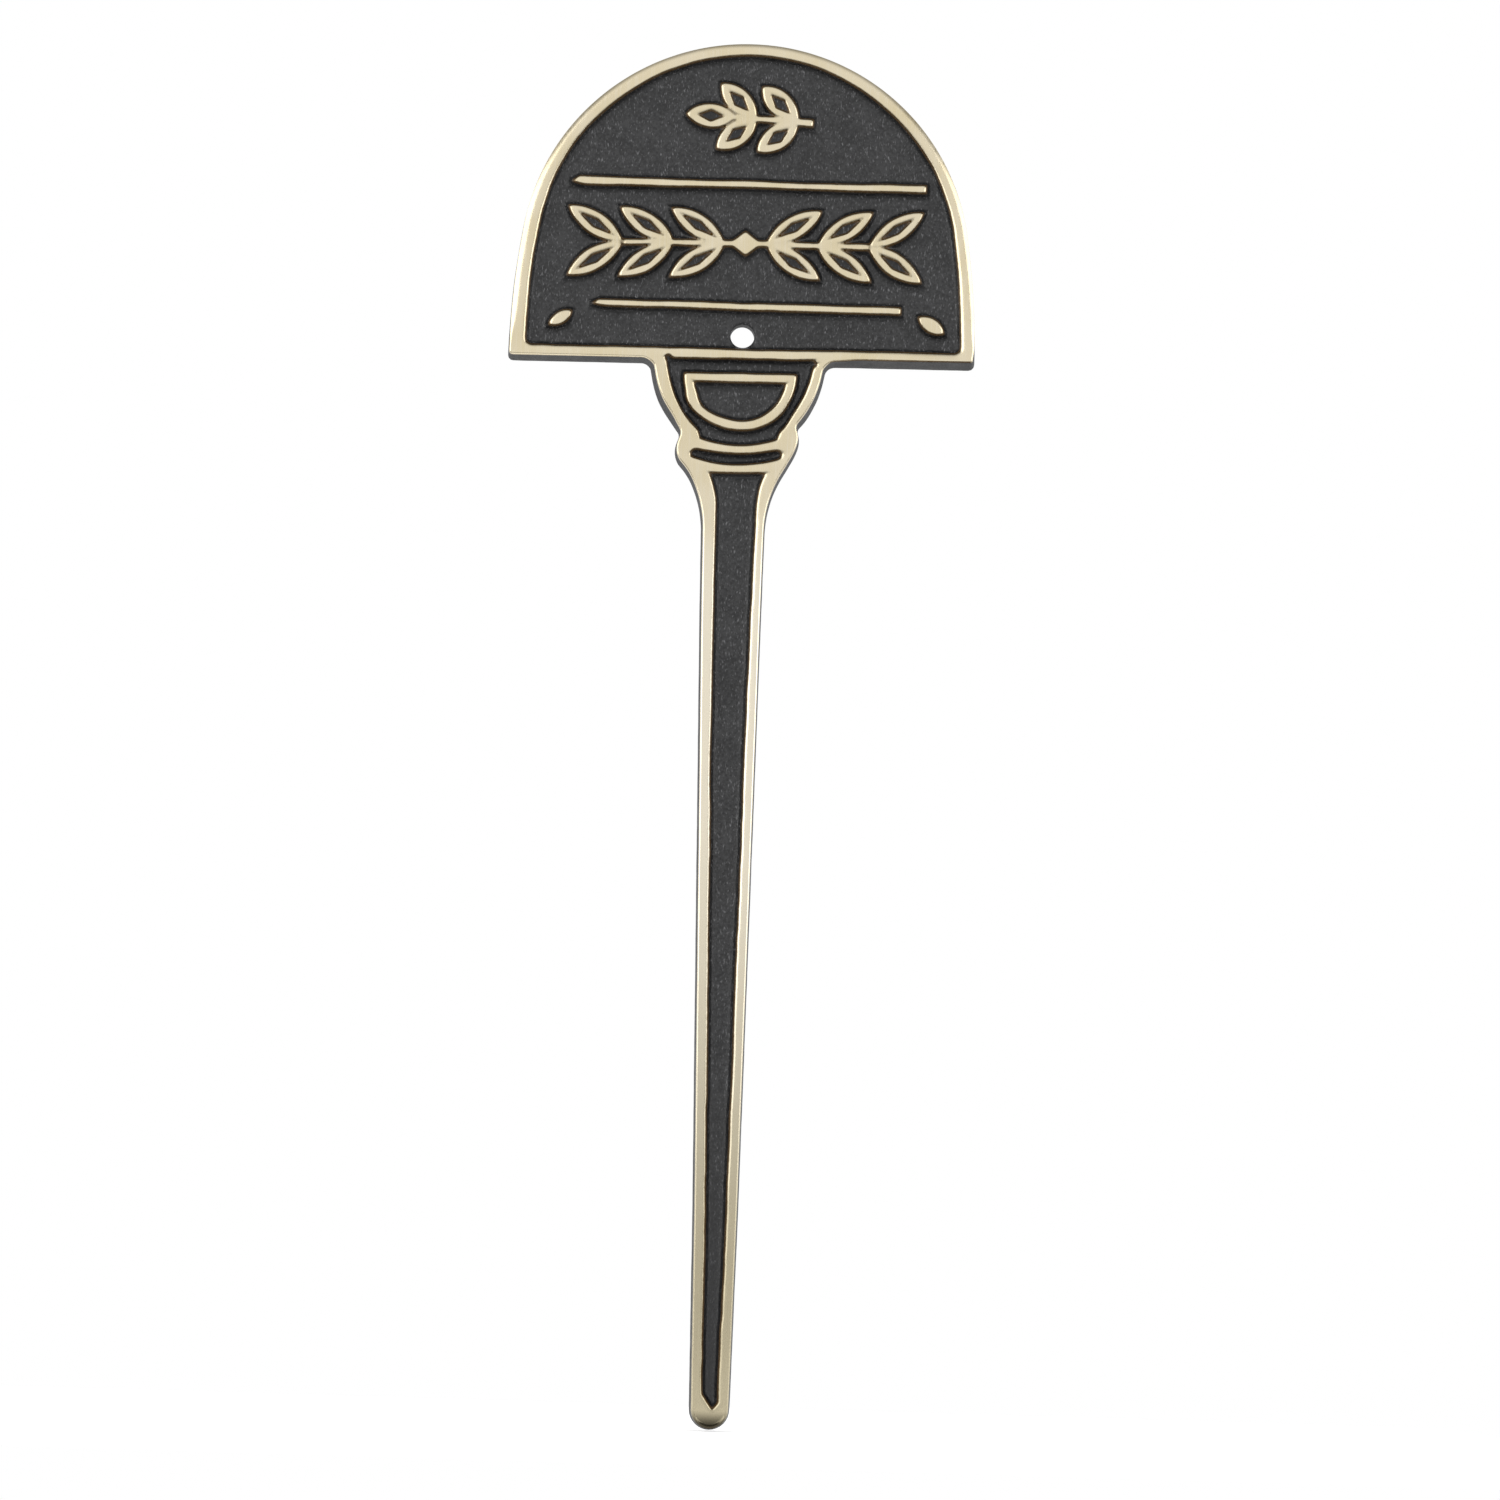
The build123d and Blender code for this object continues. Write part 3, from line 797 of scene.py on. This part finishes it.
def frontPoints():
    points, edges, loops = [], [], {}

    def addLoop(loop, fromHole=0.0, fromEdge=farOutside):
        start = len(points)
        clear = np.linalg.norm(loop - holeCentre, axis=1) > fromHole
        clear &= readField(frontField, *loop.T) > fromEdge
        numbers = np.where(clear, start + np.cumsum(clear) - 1, -1)
        points.extend(loop[clear].tolist())
        pairs = zip(numbers.tolist(), np.roll(numbers, -1).tolist())
        edges.extend(pair for pair in pairs if min(pair) >= 0)
        return numbers

    rim = max(contourLoops(frontField, frontInset), key=len)
    loops["rim"] = addLoop(meshLoop(rim))
    for extra in edgeLevels:
        for loop in contourLoops(frontField, frontInset + extra):
            addLoop(meshLoop(loop))
    turns = np.arange(holeSides) * 2 * math.pi / holeSides
    circle = np.column_stack((np.cos(turns), np.sin(turns)))
    loops["hole"] = addLoop(holeCentre + holeRadius * circle)
    for roll in holeLevels:
        addLoop(holeCentre + (holeRadius + roll) * circle)
    for name, (field, levels) in recesses.items():
        edgeNumbers = []
        for level in levels:
            for loop in contourLoops(field, level):
                loop = meshLoop(loop)
                if loop is None:
                    continue
                fromEdge = frontInset + edgeLevels[-1] + 0.1 if level < 0 else farOutside
                numbers = addLoop(loop, holeRadius + 0.5, fromEdge)
                if level == 0:
                    edgeNumbers.extend(numbers.tolist())
        loops[name] = np.array(edgeNumbers)

    chance = np.random.RandomState(5)
    for gap, isFloor in ((spacing["floor"], True), (spacing["top"], False)):
        u, v = np.meshgrid(np.arange(-43, 43, gap), np.arange(1, 254, gap * 0.87))
        u = u + (np.arange(len(u)) % 2)[:, None] * gap / 2
        u, v = (axis.ravel() + chance.uniform(-0.3, 0.3, axis.size) * gap for axis in (u, v))
        nearest = np.max([readField(field, u, v) for field, _ in recesses.values()], axis=0)
        fromHole = np.hypot(u - holeCentre[0], v - holeCentre[1]) - holeRadius
        if isFloor:
            keep = (nearest > wallLevels[-1] + 0.3) & (fromHole > 0.75)
        else:
            keep = nearest < wallLevels[0] - 0.3
            keep &= readField(frontField, u, v) > frontInset + edgeLevels[-1] + 0.35
        points.extend(np.column_stack((u[keep], v[keep])).tolist())
    return points, edges, loops


flatPoints, flatEdges, flatLoops = frontPoints()
print("front points:", len(flatPoints))
flat = delaunay_2d_cdt([Vector(point) for point in flatPoints], flatEdges, [], 0, 1e-6, True)
frontFlat = np.array([tuple(point) for point in flat[0]])
frontFaces = np.array(flat[2])
newNumber = np.full(len(flatPoints), -1)
for number, sources in enumerate(flat[3]):
    newNumber[sources] = number
frontLoops = {name: newNumber[numbers[numbers >= 0]] for name, numbers in flatLoops.items()}
middles = frontFlat[frontFaces].mean(axis=1)
kept = readField(frontField, *middles.T) > frontInset
kept &= np.linalg.norm(middles - holeCentre, axis=1) > holeRadius * math.cos(math.pi / holeSides)
frontFaces, middles = frontFaces[kept], middles[kept]
frontDown, frontFilm, frontFringe = frontDepth(*frontFlat.T)
print("front triangles:", len(frontFaces))


# Solids: rings and sheets of points joined into closed pieces

def newSolid():
    return {"flat": [], "height": [], "fringe": [], "faces": [], "count": 0}


def addPoints(solid, flat, height, fringe):  # adds points and returns their numbers
    count = len(flat)
    for key, values in (("height", height), ("fringe", fringe)):
        solid[key].append(np.broadcast_to(np.asarray(values, float), count))
    solid["flat"].append(np.asarray(flat, float))
    solid["count"] += count
    return np.arange(solid["count"] - count, solid["count"])


def addFaces(solid, faces, flip=False):
    solid["faces"].extend((faces[:, ::-1] if flip else faces).tolist())


def addStrips(solid, rings, flip=False):  # bands from ring to ring, facing away from their middle
    for upper, lower in zip(rings[:-1], rings[1:]):
        addFaces(solid, np.column_stack((upper, lower, np.roll(lower, -1), np.roll(upper, -1))), flip)


rimFlat = frontFlat[frontLoops["rim"]]
rimHeading = np.roll(rimFlat, -1, 0) - np.roll(rimFlat, 1, 0)
rimOut = np.column_stack((rimHeading[:, 1], -rimHeading[:, 0]))
rimOut = blurLoop(rimOut / np.linalg.norm(rimOut, axis=1)[:, None], 1.0)
rimOut /= np.linalg.norm(rimOut, axis=1)[:, None]
rimAlong = np.cumsum(stepLengths(rimFlat))
rimAcross, rimEnd = edgeSize("across", rimFlat[:, 1]), edgeSize("drop", rimFlat[:, 1])
rimWall = wallTop(rimFlat[:, 1])
rimDrop = rimEnd * np.clip(1 - (frontInset - rimWall) / rimAcross, 0, 1) ** 2
facesDown = easedShare(-rimOut[:, 1], (0.7, 0.95))
bareFoot = np.interp(rimFlat[:, 0], (-40, 40), section["bareFoot"])
bareSide = edgeSize("bare", rimFlat[:, 1])
bareDrop = bareSide + (bareFoot - bareSide) * facesDown  # where the paint starts
bareRing, wallRing, backRing = 9, 16, 21  # rings where the paint, the back's rounding and the back start


def ringDrop(ring):  # how far below the front each point of a ring lies
    if ring <= bareRing:
        return rimDrop + (bareDrop - rimDrop) * ((ring + 1) / (bareRing + 1)) ** 1.4
    wallFoot = front - section["backRadius"]
    if ring <= wallRing:
        return bareDrop + (wallFoot - bareDrop) * ((ring - bareRing) / (wallRing - bareRing)) ** 1.6
    turn = math.pi / 2 * (ring - wallRing) / (backRing - wallRing)
    return np.full(len(bareDrop), wallFoot + section["backRadius"] * math.sin(turn))


def edgePlace(drop):  # inset of the outer edge at a drop below the front, and the way into the metal
    back = section["backRadius"]
    turn = np.arcsin(np.clip((drop - front + back) / back, 0, 1))
    wall = (front - drop) * math.tan(section["draft"]) + back * (1 - np.cos(turn))
    share = np.sqrt(np.clip(drop / rimEnd, 0, 1))
    slope = 2 * share * rimEnd / rimAcross
    steep = np.hypot(slope, 1)
    rolls = drop < rimEnd
    inset = np.where(rolls, rimWall + rimAcross * (1 - share), wall)
    return inset, np.where(rolls, slope / steep, np.cos(turn)), np.where(rolls, -1 / steep, np.sin(turn))


def edgeRing(ring, coated):  # one ring of the outer edge, on the paint or on the brass under it
    drop = ringDrop(ring)
    inset, inward, up = edgePlace(drop)
    past = drop - bareDrop
    film = section["film"] * eased(past / 0.35)
    sand = section["sandDepth"] * eased(past / 0.6) * (0.5 + uneven(rimAlong, drop, "edge"))
    sink = sand + (0 if coated else film + section["filmGap"] * (film > 0))
    outward = frontInset + extraDraft(*rimFlat.T) * spanShare(drop, (0, front)) - inset - inward * sink
    flat = rimFlat + rimOut * outward[:, None]
    return flat, np.maximum(front - drop + up * sink, 0), -past


def boreRing(radius):
    return holeCentre + (frontFlat[frontLoops["hole"]] - holeCentre) * radius / holeRadius


boreFlare = ((0.0, 2.9), (0.0, 1.6), (0.0, 0.34), (0.06, 0.1), (0.22, 0.0))  # wider by, and height
boreRows = [(holeRadius + wider, height) for wider, height in boreFlare]


def backSheet():  # points and triangles of the flat back
    inset, bore = section["backRadius"], boreRows[-1][0]
    outer, inner = edgeRing(backRing, True)[0], boreRing(bore)
    chance = np.random.RandomState(6)
    u, v = np.meshgrid(np.arange(-42, 42, 1.6), np.arange(2, 254, 1.5))
    u, v = (axis.ravel() + chance.uniform(-0.4, 0.4, axis.size) for axis in (u, v))
    keep = readField(edgeField, u, v) > inset + 0.7
    keep &= np.hypot(u - holeCentre[0], v - holeCentre[1]) > bore + 0.7
    points = np.vstack((outer, inner, np.column_stack((u[keep], v[keep]))))
    edges = [(i, (i + 1) % len(outer)) for i in range(len(outer))]
    edges += [(len(outer) + i, len(outer) + (i + 1) % len(inner)) for i in range(len(inner))]
    sheet = delaunay_2d_cdt([Vector(point) for point in points], edges, [], 0, 1e-7, False)
    faces = np.array(sheet[2])
    middle = points[faces].mean(axis=1)
    inside = readField(edgeField, *middle.T) > inset - 0.012
    inside &= np.linalg.norm(middle - holeCentre, axis=1) > bore * math.cos(math.pi / len(inner))
    loose = points[len(outer) + len(inner):]
    return faces[inside], loose, section["backWave"] + uneven(*loose.T, "back")


backFaces, backLoose, backWave = backSheet()
print("back triangles:", len(backFaces))


def addBack(solid, coated, topRing, holeRing, flip=False):  # edge, bore and back, painted or brass
    sunk = 0 if coated else section["film"] + section["filmGap"]
    rings = [topRing]
    rings += [addPoints(solid, *edgeRing(ring, coated)) for ring in range(bareRing + 1, backRing + 1)]
    addStrips(solid, rings, flip)
    bore = [holeRing]
    for radius, height in boreRows:
        wide, high = (sunk, sunk * 0.4) if height > 0 else (0, sunk)
        bore.append(addPoints(solid, boreRing(radius + wide), height + high, -1.0))
    addStrips(solid, bore, not flip)
    loose = addPoints(solid, backLoose, backWave + sunk, -1.0)
    addFaces(solid, np.concatenate((rings[-1], bore[-1], loose))[backFaces], not flip)


def brassSolid():
    solid = newSolid()
    covered = frontFilm + section["filmGap"] * (frontFilm > 0)
    numbers = addPoints(solid, frontFlat, front - frontDown - covered, frontFringe)
    addFaces(solid, numbers[frontFaces])
    rings = [numbers[frontLoops["rim"]]]
    rings += [addPoints(solid, *edgeRing(ring, True)) for ring in range(bareRing + 1)]
    addStrips(solid, rings)
    addBack(solid, False, rings[-1], numbers[frontLoops["hole"]])
    return solid


def backCoatSolid():
    solid = newSolid()
    top = addPoints(solid, *edgeRing(bareRing, True))
    hole = frontLoops["hole"]
    bore = addPoints(solid, frontFlat[hole], front - frontDown[hole], -1.0)
    addBack(solid, True, top, bore)
    addBack(solid, False, top, bore, True)
    return solid


def recessSolid(name):  # paint in a recess: its face and, film thickness below, its underside
    solid = newSolid()
    faces = frontFaces[readField(recesses[name][0], *middles.T) > 0]
    pinned = np.zeros(len(frontFlat), bool)  # where the film runs out
    pinned[frontLoops[name]] = True
    pinned[frontLoops["hole"]] = True
    faces = faces[~pinned[faces].all(axis=1)]
    used = np.unique(faces)
    upper, lower = np.full(len(frontFlat), -1), np.full(len(frontFlat), -1)
    height = front - frontDown[used]
    upper[used] = addPoints(solid, frontFlat[used], height, -frontFringe[used])
    lower[used] = upper[used]
    deep = used[~pinned[used]]
    film = np.maximum(frontFilm[deep], section["filmGap"])
    lower[deep] = addPoints(solid, frontFlat[deep], front - frontDown[deep] - film, -frontFringe[deep])
    addFaces(solid, upper[faces])
    addFaces(solid, lower[faces], True)
    return solid


# Materials

def hexColour(code):  # sRGB hex to linear
    parts = [int(code[i:i + 2], 16) / 255 for i in (1, 3, 5)]
    linear = [c / 12.92 if c <= 0.04045 else ((c + 0.055) / 1.055) ** 2.4 for c in parts]
    return (*linear, 1.0)


def addNode(tree, kind, settings=None, links=None):
    node = tree.nodes.new(kind)
    for key, value in (settings or {}).items():
        if isinstance(key, int) or key in node.inputs:
            node.inputs[key].default_value = value
        else:
            setattr(node, key, value)
    for key, socket in (links or {}).items():
        tree.links.new(socket, node.inputs[key])
    return node


def newMaterial(name):
    material = bpy.data.materials.new(name)
    material.use_nodes = True
    material.node_tree.nodes.clear()
    return material, material.node_tree


def layeredColour(tree, finish, layers):  # each colour over the ones before it, by what it follows
    base = None
    for key, follows, start, end, most, ramp in layers:
        span = {"interpolation_type": ramp, "From Min": start, "From Max": end, "To Max": most}
        share = addNode(tree, "ShaderNodeMapRange", span, {"Value": follows}).outputs[0]
        colours = {"data_type": "RGBA", 6: hexColour(finish["colour"]), 7: hexColour(finish[key])}
        links = {0: share} if base is None else {0: share, 6: base}
        base = addNode(tree, "ShaderNodeMix", colours, links).outputs[2]
    return base


def finishSurface(tree, finish, shine, base, sheen, bump):  # roughness, shader and output
    smooth, matt = finish["roughness"]
    span = {"From Min": 0.3, "From Max": 0.7, "To Min": smooth, "To Max": matt}
    rough = addNode(tree, "ShaderNodeMapRange", span, {"Value": sheen})
    shader = addNode(tree, "ShaderNodeBsdfPrincipled", shine,
                     {"Base Color": base, "Roughness": rough.outputs[0], "Normal": bump.outputs[0]})
    addNode(tree, "ShaderNodeOutputMaterial", {}, {"Surface": shader.outputs[0]})


brassFinish = {
    "colour": "#DED2B6",
    "warmPatch": "#D5C69F",
    "paleStreak": "#E6DDC8",
    "paintStain": "#45300F",
    "pit": "#4A3A20",
    "roughness": (0.2, 0.3),
    "streakWidth": 0.22,  # mm, coarser than the real belt grit so that it shows
    "streakLength": 7.0,
    "streakDepth": 0.006,
    "patchSize": 9.0,
    "pitGap": 3.2,
    "raggedSize": 0.8,  # how the brown line wavers
    "stainWidth": 0.28,  # mm of brown left where the paint was rubbed through
    "stake": "#EDE4D0",  # painted highlight: the stake is made paler than the plate, for the brighter light its flats catch
    "stakeSpan": (176.0, 150.0),  # mm above the point
    # painted shade: the point darkened, as its underside is in shade
    "soil": "#332F25",
    "soilSpan": (4.2, 1.2),
    "dull": "#B8AE93",  # painted shade: duller towards the foot, where the brass reflects less light
    "dullSpan": (115.0, 20.0),
}


def linishedCastBrass(finish=brassFinish):
    # Sand-cast brass whose tops were cleaned on a fine belt: pale gold, soft streaks, bright rolled edges,
    # a few casting pits and a brown line where the paint was rubbed through.
    material, tree = newMaterial("linished cast brass")
    coords = addNode(tree, "ShaderNodeTexCoord").outputs["Object"]
    across, along = 1 / (finish["streakWidth"] * mm), 1 / (finish["streakLength"] * mm)
    belt = addNode(tree, "ShaderNodeMapping", {"Scale": (across, across, along)}, {"Vector": coords})
    streaks = addNode(tree, "ShaderNodeTexNoise", {"Scale": 1.0, "Detail": 2.0},
                      {"Vector": belt.outputs[0]}).outputs[0]
    patches, ragged = (
        addNode(tree, "ShaderNodeTexNoise", {"Scale": 1 / (finish[key] * mm), "Detail": 3.0},
                {"Vector": coords}).outputs[0]
        for key in ("patchSize", "raggedSize")
    )
    pitCells = addNode(tree, "ShaderNodeTexVoronoi", {"Scale": 1 / (finish["pitGap"] * mm)},
                       {"Vector": coords}).outputs
    pitSize = addNode(tree, "ShaderNodeMapRange", {"From Min": 0.72, "From Max": 1.0, "To Max": 0.12},
                      {"Value": pitCells["Color"]})
    pit = addNode(tree, "ShaderNodeMath", {"operation": "LESS_THAN"},
                  {0: pitCells["Distance"], 1: pitSize.outputs[0]}).outputs[0]
    fringe = addNode(tree, "ShaderNodeAttribute", {"attribute_name": "fringe"}).outputs["Fac"]
    wavers = addNode(tree, "ShaderNodeMath", {"operation": "MULTIPLY_ADD", 1: -0.16, 2: 0.08}, {0: ragged})
    fringe = addNode(tree, "ShaderNodeMath", {"operation": "ADD"}, {0: fringe, 1: wavers.outputs[0]})
    height = addNode(tree, "ShaderNodeSeparateXYZ", {}, {0: coords}).outputs["Z"]
    spans = {key: [level * mm for level in finish[key + "Span"]] for key in ("stake", "dull", "soil")}
    base = layeredColour(tree, finish, (
        ("warmPatch", patches, 0.4, 0.7, 0.6, "LINEAR"),
        ("paleStreak", streaks, 0.5, 0.75, 0.5, "LINEAR"),
        ("pit", pit, 0.0, 1.0, 1.0, "LINEAR"),
        # painted highlight on the stake, painted shade towards the foot and at the point
        ("stake", height, *spans["stake"], 0.9, "SMOOTHSTEP"),
        ("dull", height, *spans["dull"], 1.0, "SMOOTHSTEP"),
        ("soil", height, *spans["soil"], 0.9, "SMOOTHSTEP"),
        ("paintStain", fringe.outputs[0], finish["stainWidth"], 0.0, 1.0, "SMOOTHSTEP"),
    ))
    pitDown = addNode(tree, "ShaderNodeMath", {"operation": "MULTIPLY_ADD", 1: -6.0}, {0: pit, 2: streaks})
    bump = addNode(tree, "ShaderNodeBump", {"Strength": 0.35, "Distance": finish["streakDepth"] * mm},
                   {"Height": pitDown.outputs[0]})
    finishSurface(tree, finish, {"Metallic": 1.0}, base, streaks, bump)
    return material


enamelFinish = {
    "colour": "#171718",
    "greyPatch": "#343435",
    # painted glints: pale specks in place of light caught by the sand grain
    "speck": "#8C8C8E",
    "thinEdge": "#523B17",
    "roughness": (0.34, 0.52),
    "specular": 0.5,
    "foot": "#0C0C0E",  # darker towards the foot
    "footSpan": (80.0, 10.0),
    "grainSize": 0.45,  # mm, sand grains under the paint
    "fineGrain": 0.18,
    "grainDepth": 0.1,
    "patchSize": 4.0,
    "dashWidth": 0.27,  # painted glints: short pale dashes where the high sand grains would catch the light
    "dashLength": 0.75,
    "glintTint": 0.6,
    "thinWidth": 0.32,
    "corner": "#09090A",  # painted shade beside the walls of the recesses
    "cornerShadeSpan": (1.2, 0.55),  # mm from the edge of the paint
    "cornerShadeShare": 0.75,
}
backFinish = {**enamelFinish, "roughness": (0.5, 0.66), "specular": 0.4, "glintTint": 0.2, "cornerShadeShare": 0.0}


def sandCastBlackEnamel(name, finish):
    # Black satin enamel brushed over a sand-cast face: dark grey with the grain of the sand in its gloss,
    # # painted glints as pale specks on the high grains, painted shade beside the walls and a thin brown edge
    # where it was rubbed back.
    material, tree = newMaterial(name)
    coords = addNode(tree, "ShaderNodeTexCoord").outputs["Object"]
    grain, fine, patches = (
        addNode(tree, "ShaderNodeTexNoise", {"Scale": 1 / (finish[key] * mm), "Detail": detail},
                {"Vector": coords}).outputs[0]
        for key, detail in (("grainSize", 2.0), ("fineGrain", 1.0), ("patchSize", 4.0))
    )
    mottle = addNode(tree, "ShaderNodeMath", {"operation": "MULTIPLY_ADD", 1: 0.55}, {0: patches, 2: grain})
    across, along = 1 / (finish["dashWidth"] * mm), 1 / (finish["dashLength"] * mm)
    brush = addNode(tree, "ShaderNodeMapping", {"Scale": (across, across, along)}, {"Vector": coords})
    dashes = addNode(tree, "ShaderNodeTexNoise", {"Scale": 1.0, "Detail": 1.0}, {"Vector": brush.outputs[0]})
    fringe = addNode(tree, "ShaderNodeAttribute", {"attribute_name": "fringe"}).outputs["Fac"]
    fringe = addNode(tree, "ShaderNodeMath", {"operation": "ABSOLUTE"}, {0: fringe}).outputs[0]
    height = addNode(tree, "ShaderNodeSeparateXYZ", {}, {0: coords}).outputs["Z"]
    footSpan = [level * mm for level in finish["footSpan"]]
    base = layeredColour(tree, finish, (
        ("greyPatch", mottle.outputs[0], 0.6, 0.95, 1.0, "LINEAR"),
        # painted shade beside the walls, then painted glints on the high grains
        ("corner", fringe, *finish["cornerShadeSpan"], finish["cornerShadeShare"], "SMOOTHSTEP"),
        ("speck", dashes.outputs[0], 0.6, 0.82, finish["glintTint"], "LINEAR"),
        ("foot", height, *footSpan, 0.75, "SMOOTHSTEP"),
        ("thinEdge", fringe, finish["thinWidth"], 0.0, 1.0, "SMOOTHSTEP"),
    ))
    fineShare = addNode(tree, "ShaderNodeMath", {"operation": "MULTIPLY_ADD", 1: 0.4}, {0: fine, 2: grain})
    bump = addNode(tree, "ShaderNodeBump", {"Strength": 0.8, "Distance": finish["grainDepth"] * mm},
                   {"Height": fineShare.outputs[0]})
    shine = {"IOR": 1.5, "Specular IOR Level": finish["specular"]}
    finishSurface(tree, finish, shine, base, patches, bump)
    return material


brass = linishedCastBrass()
enamel = sandCastBlackEnamel("satin black enamel over sand casting", enamelFinish)
edgeEnamel = sandCastBlackEnamel("matt black enamel on cast edge and back", backFinish)


def makePiece(node, solid, material):
    first, *others = node.split("_")
    name = first + "".join(word.title() for word in others)
    flatPart, height = np.vstack(solid["flat"]), np.concatenate(solid["height"])
    used = np.zeros(len(height), bool)
    for corner in range(4):
        used[[face[corner] for face in solid["faces"] if len(face) > corner]] = True
    number = np.cumsum(used) - 1
    faces = [[int(number[corner]) for corner in face] for face in solid["faces"]]
    places = np.column_stack((flatPart[:, 0], halfThickness - height, flatPart[:, 1]))[used] * mm
    mesh = bpy.data.meshes.new(name)
    mesh.from_pydata(places.tolist(), [], faces)
    attribute = mesh.attributes.new("fringe", "FLOAT", "POINT")
    attribute.data.foreach_set("value", np.concatenate(solid["fringe"])[used].astype(np.float32))
    mesh.shade_smooth()
    mesh.set_sharp_from_angle(angle=math.radians(60))
    mesh.materials.append(material)
    piece = bpy.data.objects.new(name, mesh)
    bpy.context.scene.collection.objects.link(piece)
    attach(piece, "root")
    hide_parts(node)
    print(name, len(mesh.vertices), "points", len(mesh.polygons), "faces")


makePiece("brass_casting", brassSolid(), brass)
makePiece("back_enamel", backCoatSolid(), edgeEnamel)
for node in recesses:
    makePiece(node, recessSolid(node), enamel)


# Camera at the photograph's place

camera = {
    "place": (-15.0, -900.0, 28.0),
    "yaw": math.radians(1.191),
    "pitch": math.radians(6.0351),
    "roll": math.radians(1.744),
    "lens": 119.252,
    "sensor": 36.0,
}


def placeCamera(settings=camera):
    yaw, pitch, roll = settings["yaw"], settings["pitch"], settings["roll"]
    ahead = Vector((math.sin(yaw) * math.cos(pitch), math.cos(yaw) * math.cos(pitch), math.sin(pitch)))
    right = Vector((math.cos(yaw), -math.sin(yaw), 0))
    up = right.cross(ahead)
    c, s = math.cos(roll), math.sin(roll)
    turned = Matrix((c * right + s * up, c * up - s * right, -ahead)).transposed().to_4x4()
    lens = bpy.data.cameras.new("photoCamera")
    lens.lens, lens.sensor_width = settings["lens"], settings["sensor"]
    holder = bpy.data.objects.new("photoCamera", lens)
    holder.matrix_world = Matrix.Translation(Vector(settings["place"]) * mm) @ turned
    bpy.context.scene.collection.objects.link(holder)
    bpy.context.scene.camera = holder


placeCamera()

studio = {
    "floorHalf": 0.16,  # m
    "floorColour": "#F2F2F2",
    "floorLift": 0.4,  # brings the pale floor up to white for the camera, the shadow stays
    "skyColour": "#FFFFFF",
    "room": 0.35,  # in front, away from the lights
    "fill": (("rise", -0.4, 0.15), ("rise", 1.0, 0.6), ("aside", 0.55, 0.3)),  # soft light above the camera
    "backdrop": (("behind", -0.2, 0.2), ("rise", 0.85, 0.45)),
    "panels": (  # place in m, width, height, brightness
        ((-0.97, -0.52, 0.42), 1.6, 0.88, 2.0),
        ((1.0, -0.45, 0.42), 1.4, 0.88, 1.9),
    ),
    "aim": (0.0, 0.0, 0.16),
}


def lightStudio(settings=studio):
    world = bpy.data.worlds.new("softStudio")
    bpy.context.scene.world = world
    world.use_nodes = True
    tree = world.node_tree
    tree.nodes.clear()
    heading = addNode(tree, "ShaderNodeTexCoord").outputs["Generated"]
    across, behind, rise = addNode(tree, "ShaderNodeSeparateXYZ", {}, {0: heading}).outputs
    aside = addNode(tree, "ShaderNodeMath", {"operation": "ABSOLUTE"}, {0: across}).outputs[0]
    headings = {"aside": aside, "behind": behind, "rise": rise}
    path = addNode(tree, "ShaderNodeLightPath").outputs
    bright = addNode(tree, "ShaderNodeMath", {"operation": "MAXIMUM"},
                     {0: path["Is Camera Ray"], 1: path["Is Transmission Ray"]}).outputs[0]
    for part in (settings["fill"], settings["backdrop"]):  # white for the camera, while metal shows these
        light = None
        for key, start, end in part:
            ends = {"interpolation_type": "SMOOTHSTEP", "From Min": start, "From Max": end}
            fade = addNode(tree, "ShaderNodeMapRange", ends, {"Value": headings[key]}).outputs[0]
            links = {1: fade} if light is None else {0: light, 1: fade}
            light = addNode(tree, "ShaderNodeMath", {"operation": "MULTIPLY", 0: 1.0}, links).outputs[0]
        bright = addNode(tree, "ShaderNodeMath", {"operation": "MAXIMUM"}, {0: bright, 1: light}).outputs[0]
    strength = addNode(tree, "ShaderNodeMapRange", {"To Min": settings["room"]}, {"Value": bright})
    sky = addNode(tree, "ShaderNodeBackground", {"Color": hexColour(settings["skyColour"])},
                  {"Strength": strength.outputs[0]})
    addNode(tree, "ShaderNodeOutputWorld", {}, {"Surface": sky.outputs[0]})
    for place, width, height, brightness in settings["panels"]:
        lamp = bpy.data.lights.new("sidePanel", "AREA")
        lamp.shape, lamp.size, lamp.size_y = "RECTANGLE", width, height
        lamp.energy = brightness * math.pi * width * height
        holder = bpy.data.objects.new("sidePanel", lamp)
        holder.location = place
        aim = Vector(settings["aim"]) - Vector(place)
        holder.rotation_euler = aim.to_track_quat("-Z", "Y").to_euler()
        bpy.context.scene.collection.objects.link(holder)


lightStudio()


def layFloor(settings=studio):
    half = settings["floorHalf"]
    corners = [(-half, -half, 0), (half, -half, 0), (half, half, 0), (-half, half, 0)]
    mesh = bpy.data.meshes.new("floor")
    mesh.from_pydata(corners, [], [(0, 1, 2, 3)])
    material, tree = newMaterial("pale studio floor")
    paint = addNode(tree, "ShaderNodeBsdfDiffuse", {"Color": hexColour(settings["floorColour"])})
    path = addNode(tree, "ShaderNodeLightPath").outputs
    seen = path["Is Camera Ray"]
    for ray in ("Is Glossy Ray", "Is Transmission Ray"):
        seen = addNode(tree, "ShaderNodeMath", {"operation": "MAXIMUM"}, {0: seen, 1: path[ray]}).outputs[0]
    lift = addNode(tree, "ShaderNodeMath", {"operation": "MULTIPLY", 1: settings["floorLift"]}, {0: seen})
    glow = addNode(tree, "ShaderNodeEmission", {"Color": (1, 1, 1, 1)}, {"Strength": lift.outputs[0]})
    both = addNode(tree, "ShaderNodeAddShader", {}, {0: paint.outputs[0], 1: glow.outputs[0]})
    addNode(tree, "ShaderNodeOutputMaterial", {}, {"Surface": both.outputs[0]})
    mesh.materials.append(material)
    floor = bpy.data.objects.new("floor", mesh)
    bpy.context.scene.collection.objects.link(floor)


layFloor()
bpy.context.scene.view_settings.view_transform = "Standard"
print("studio lit")
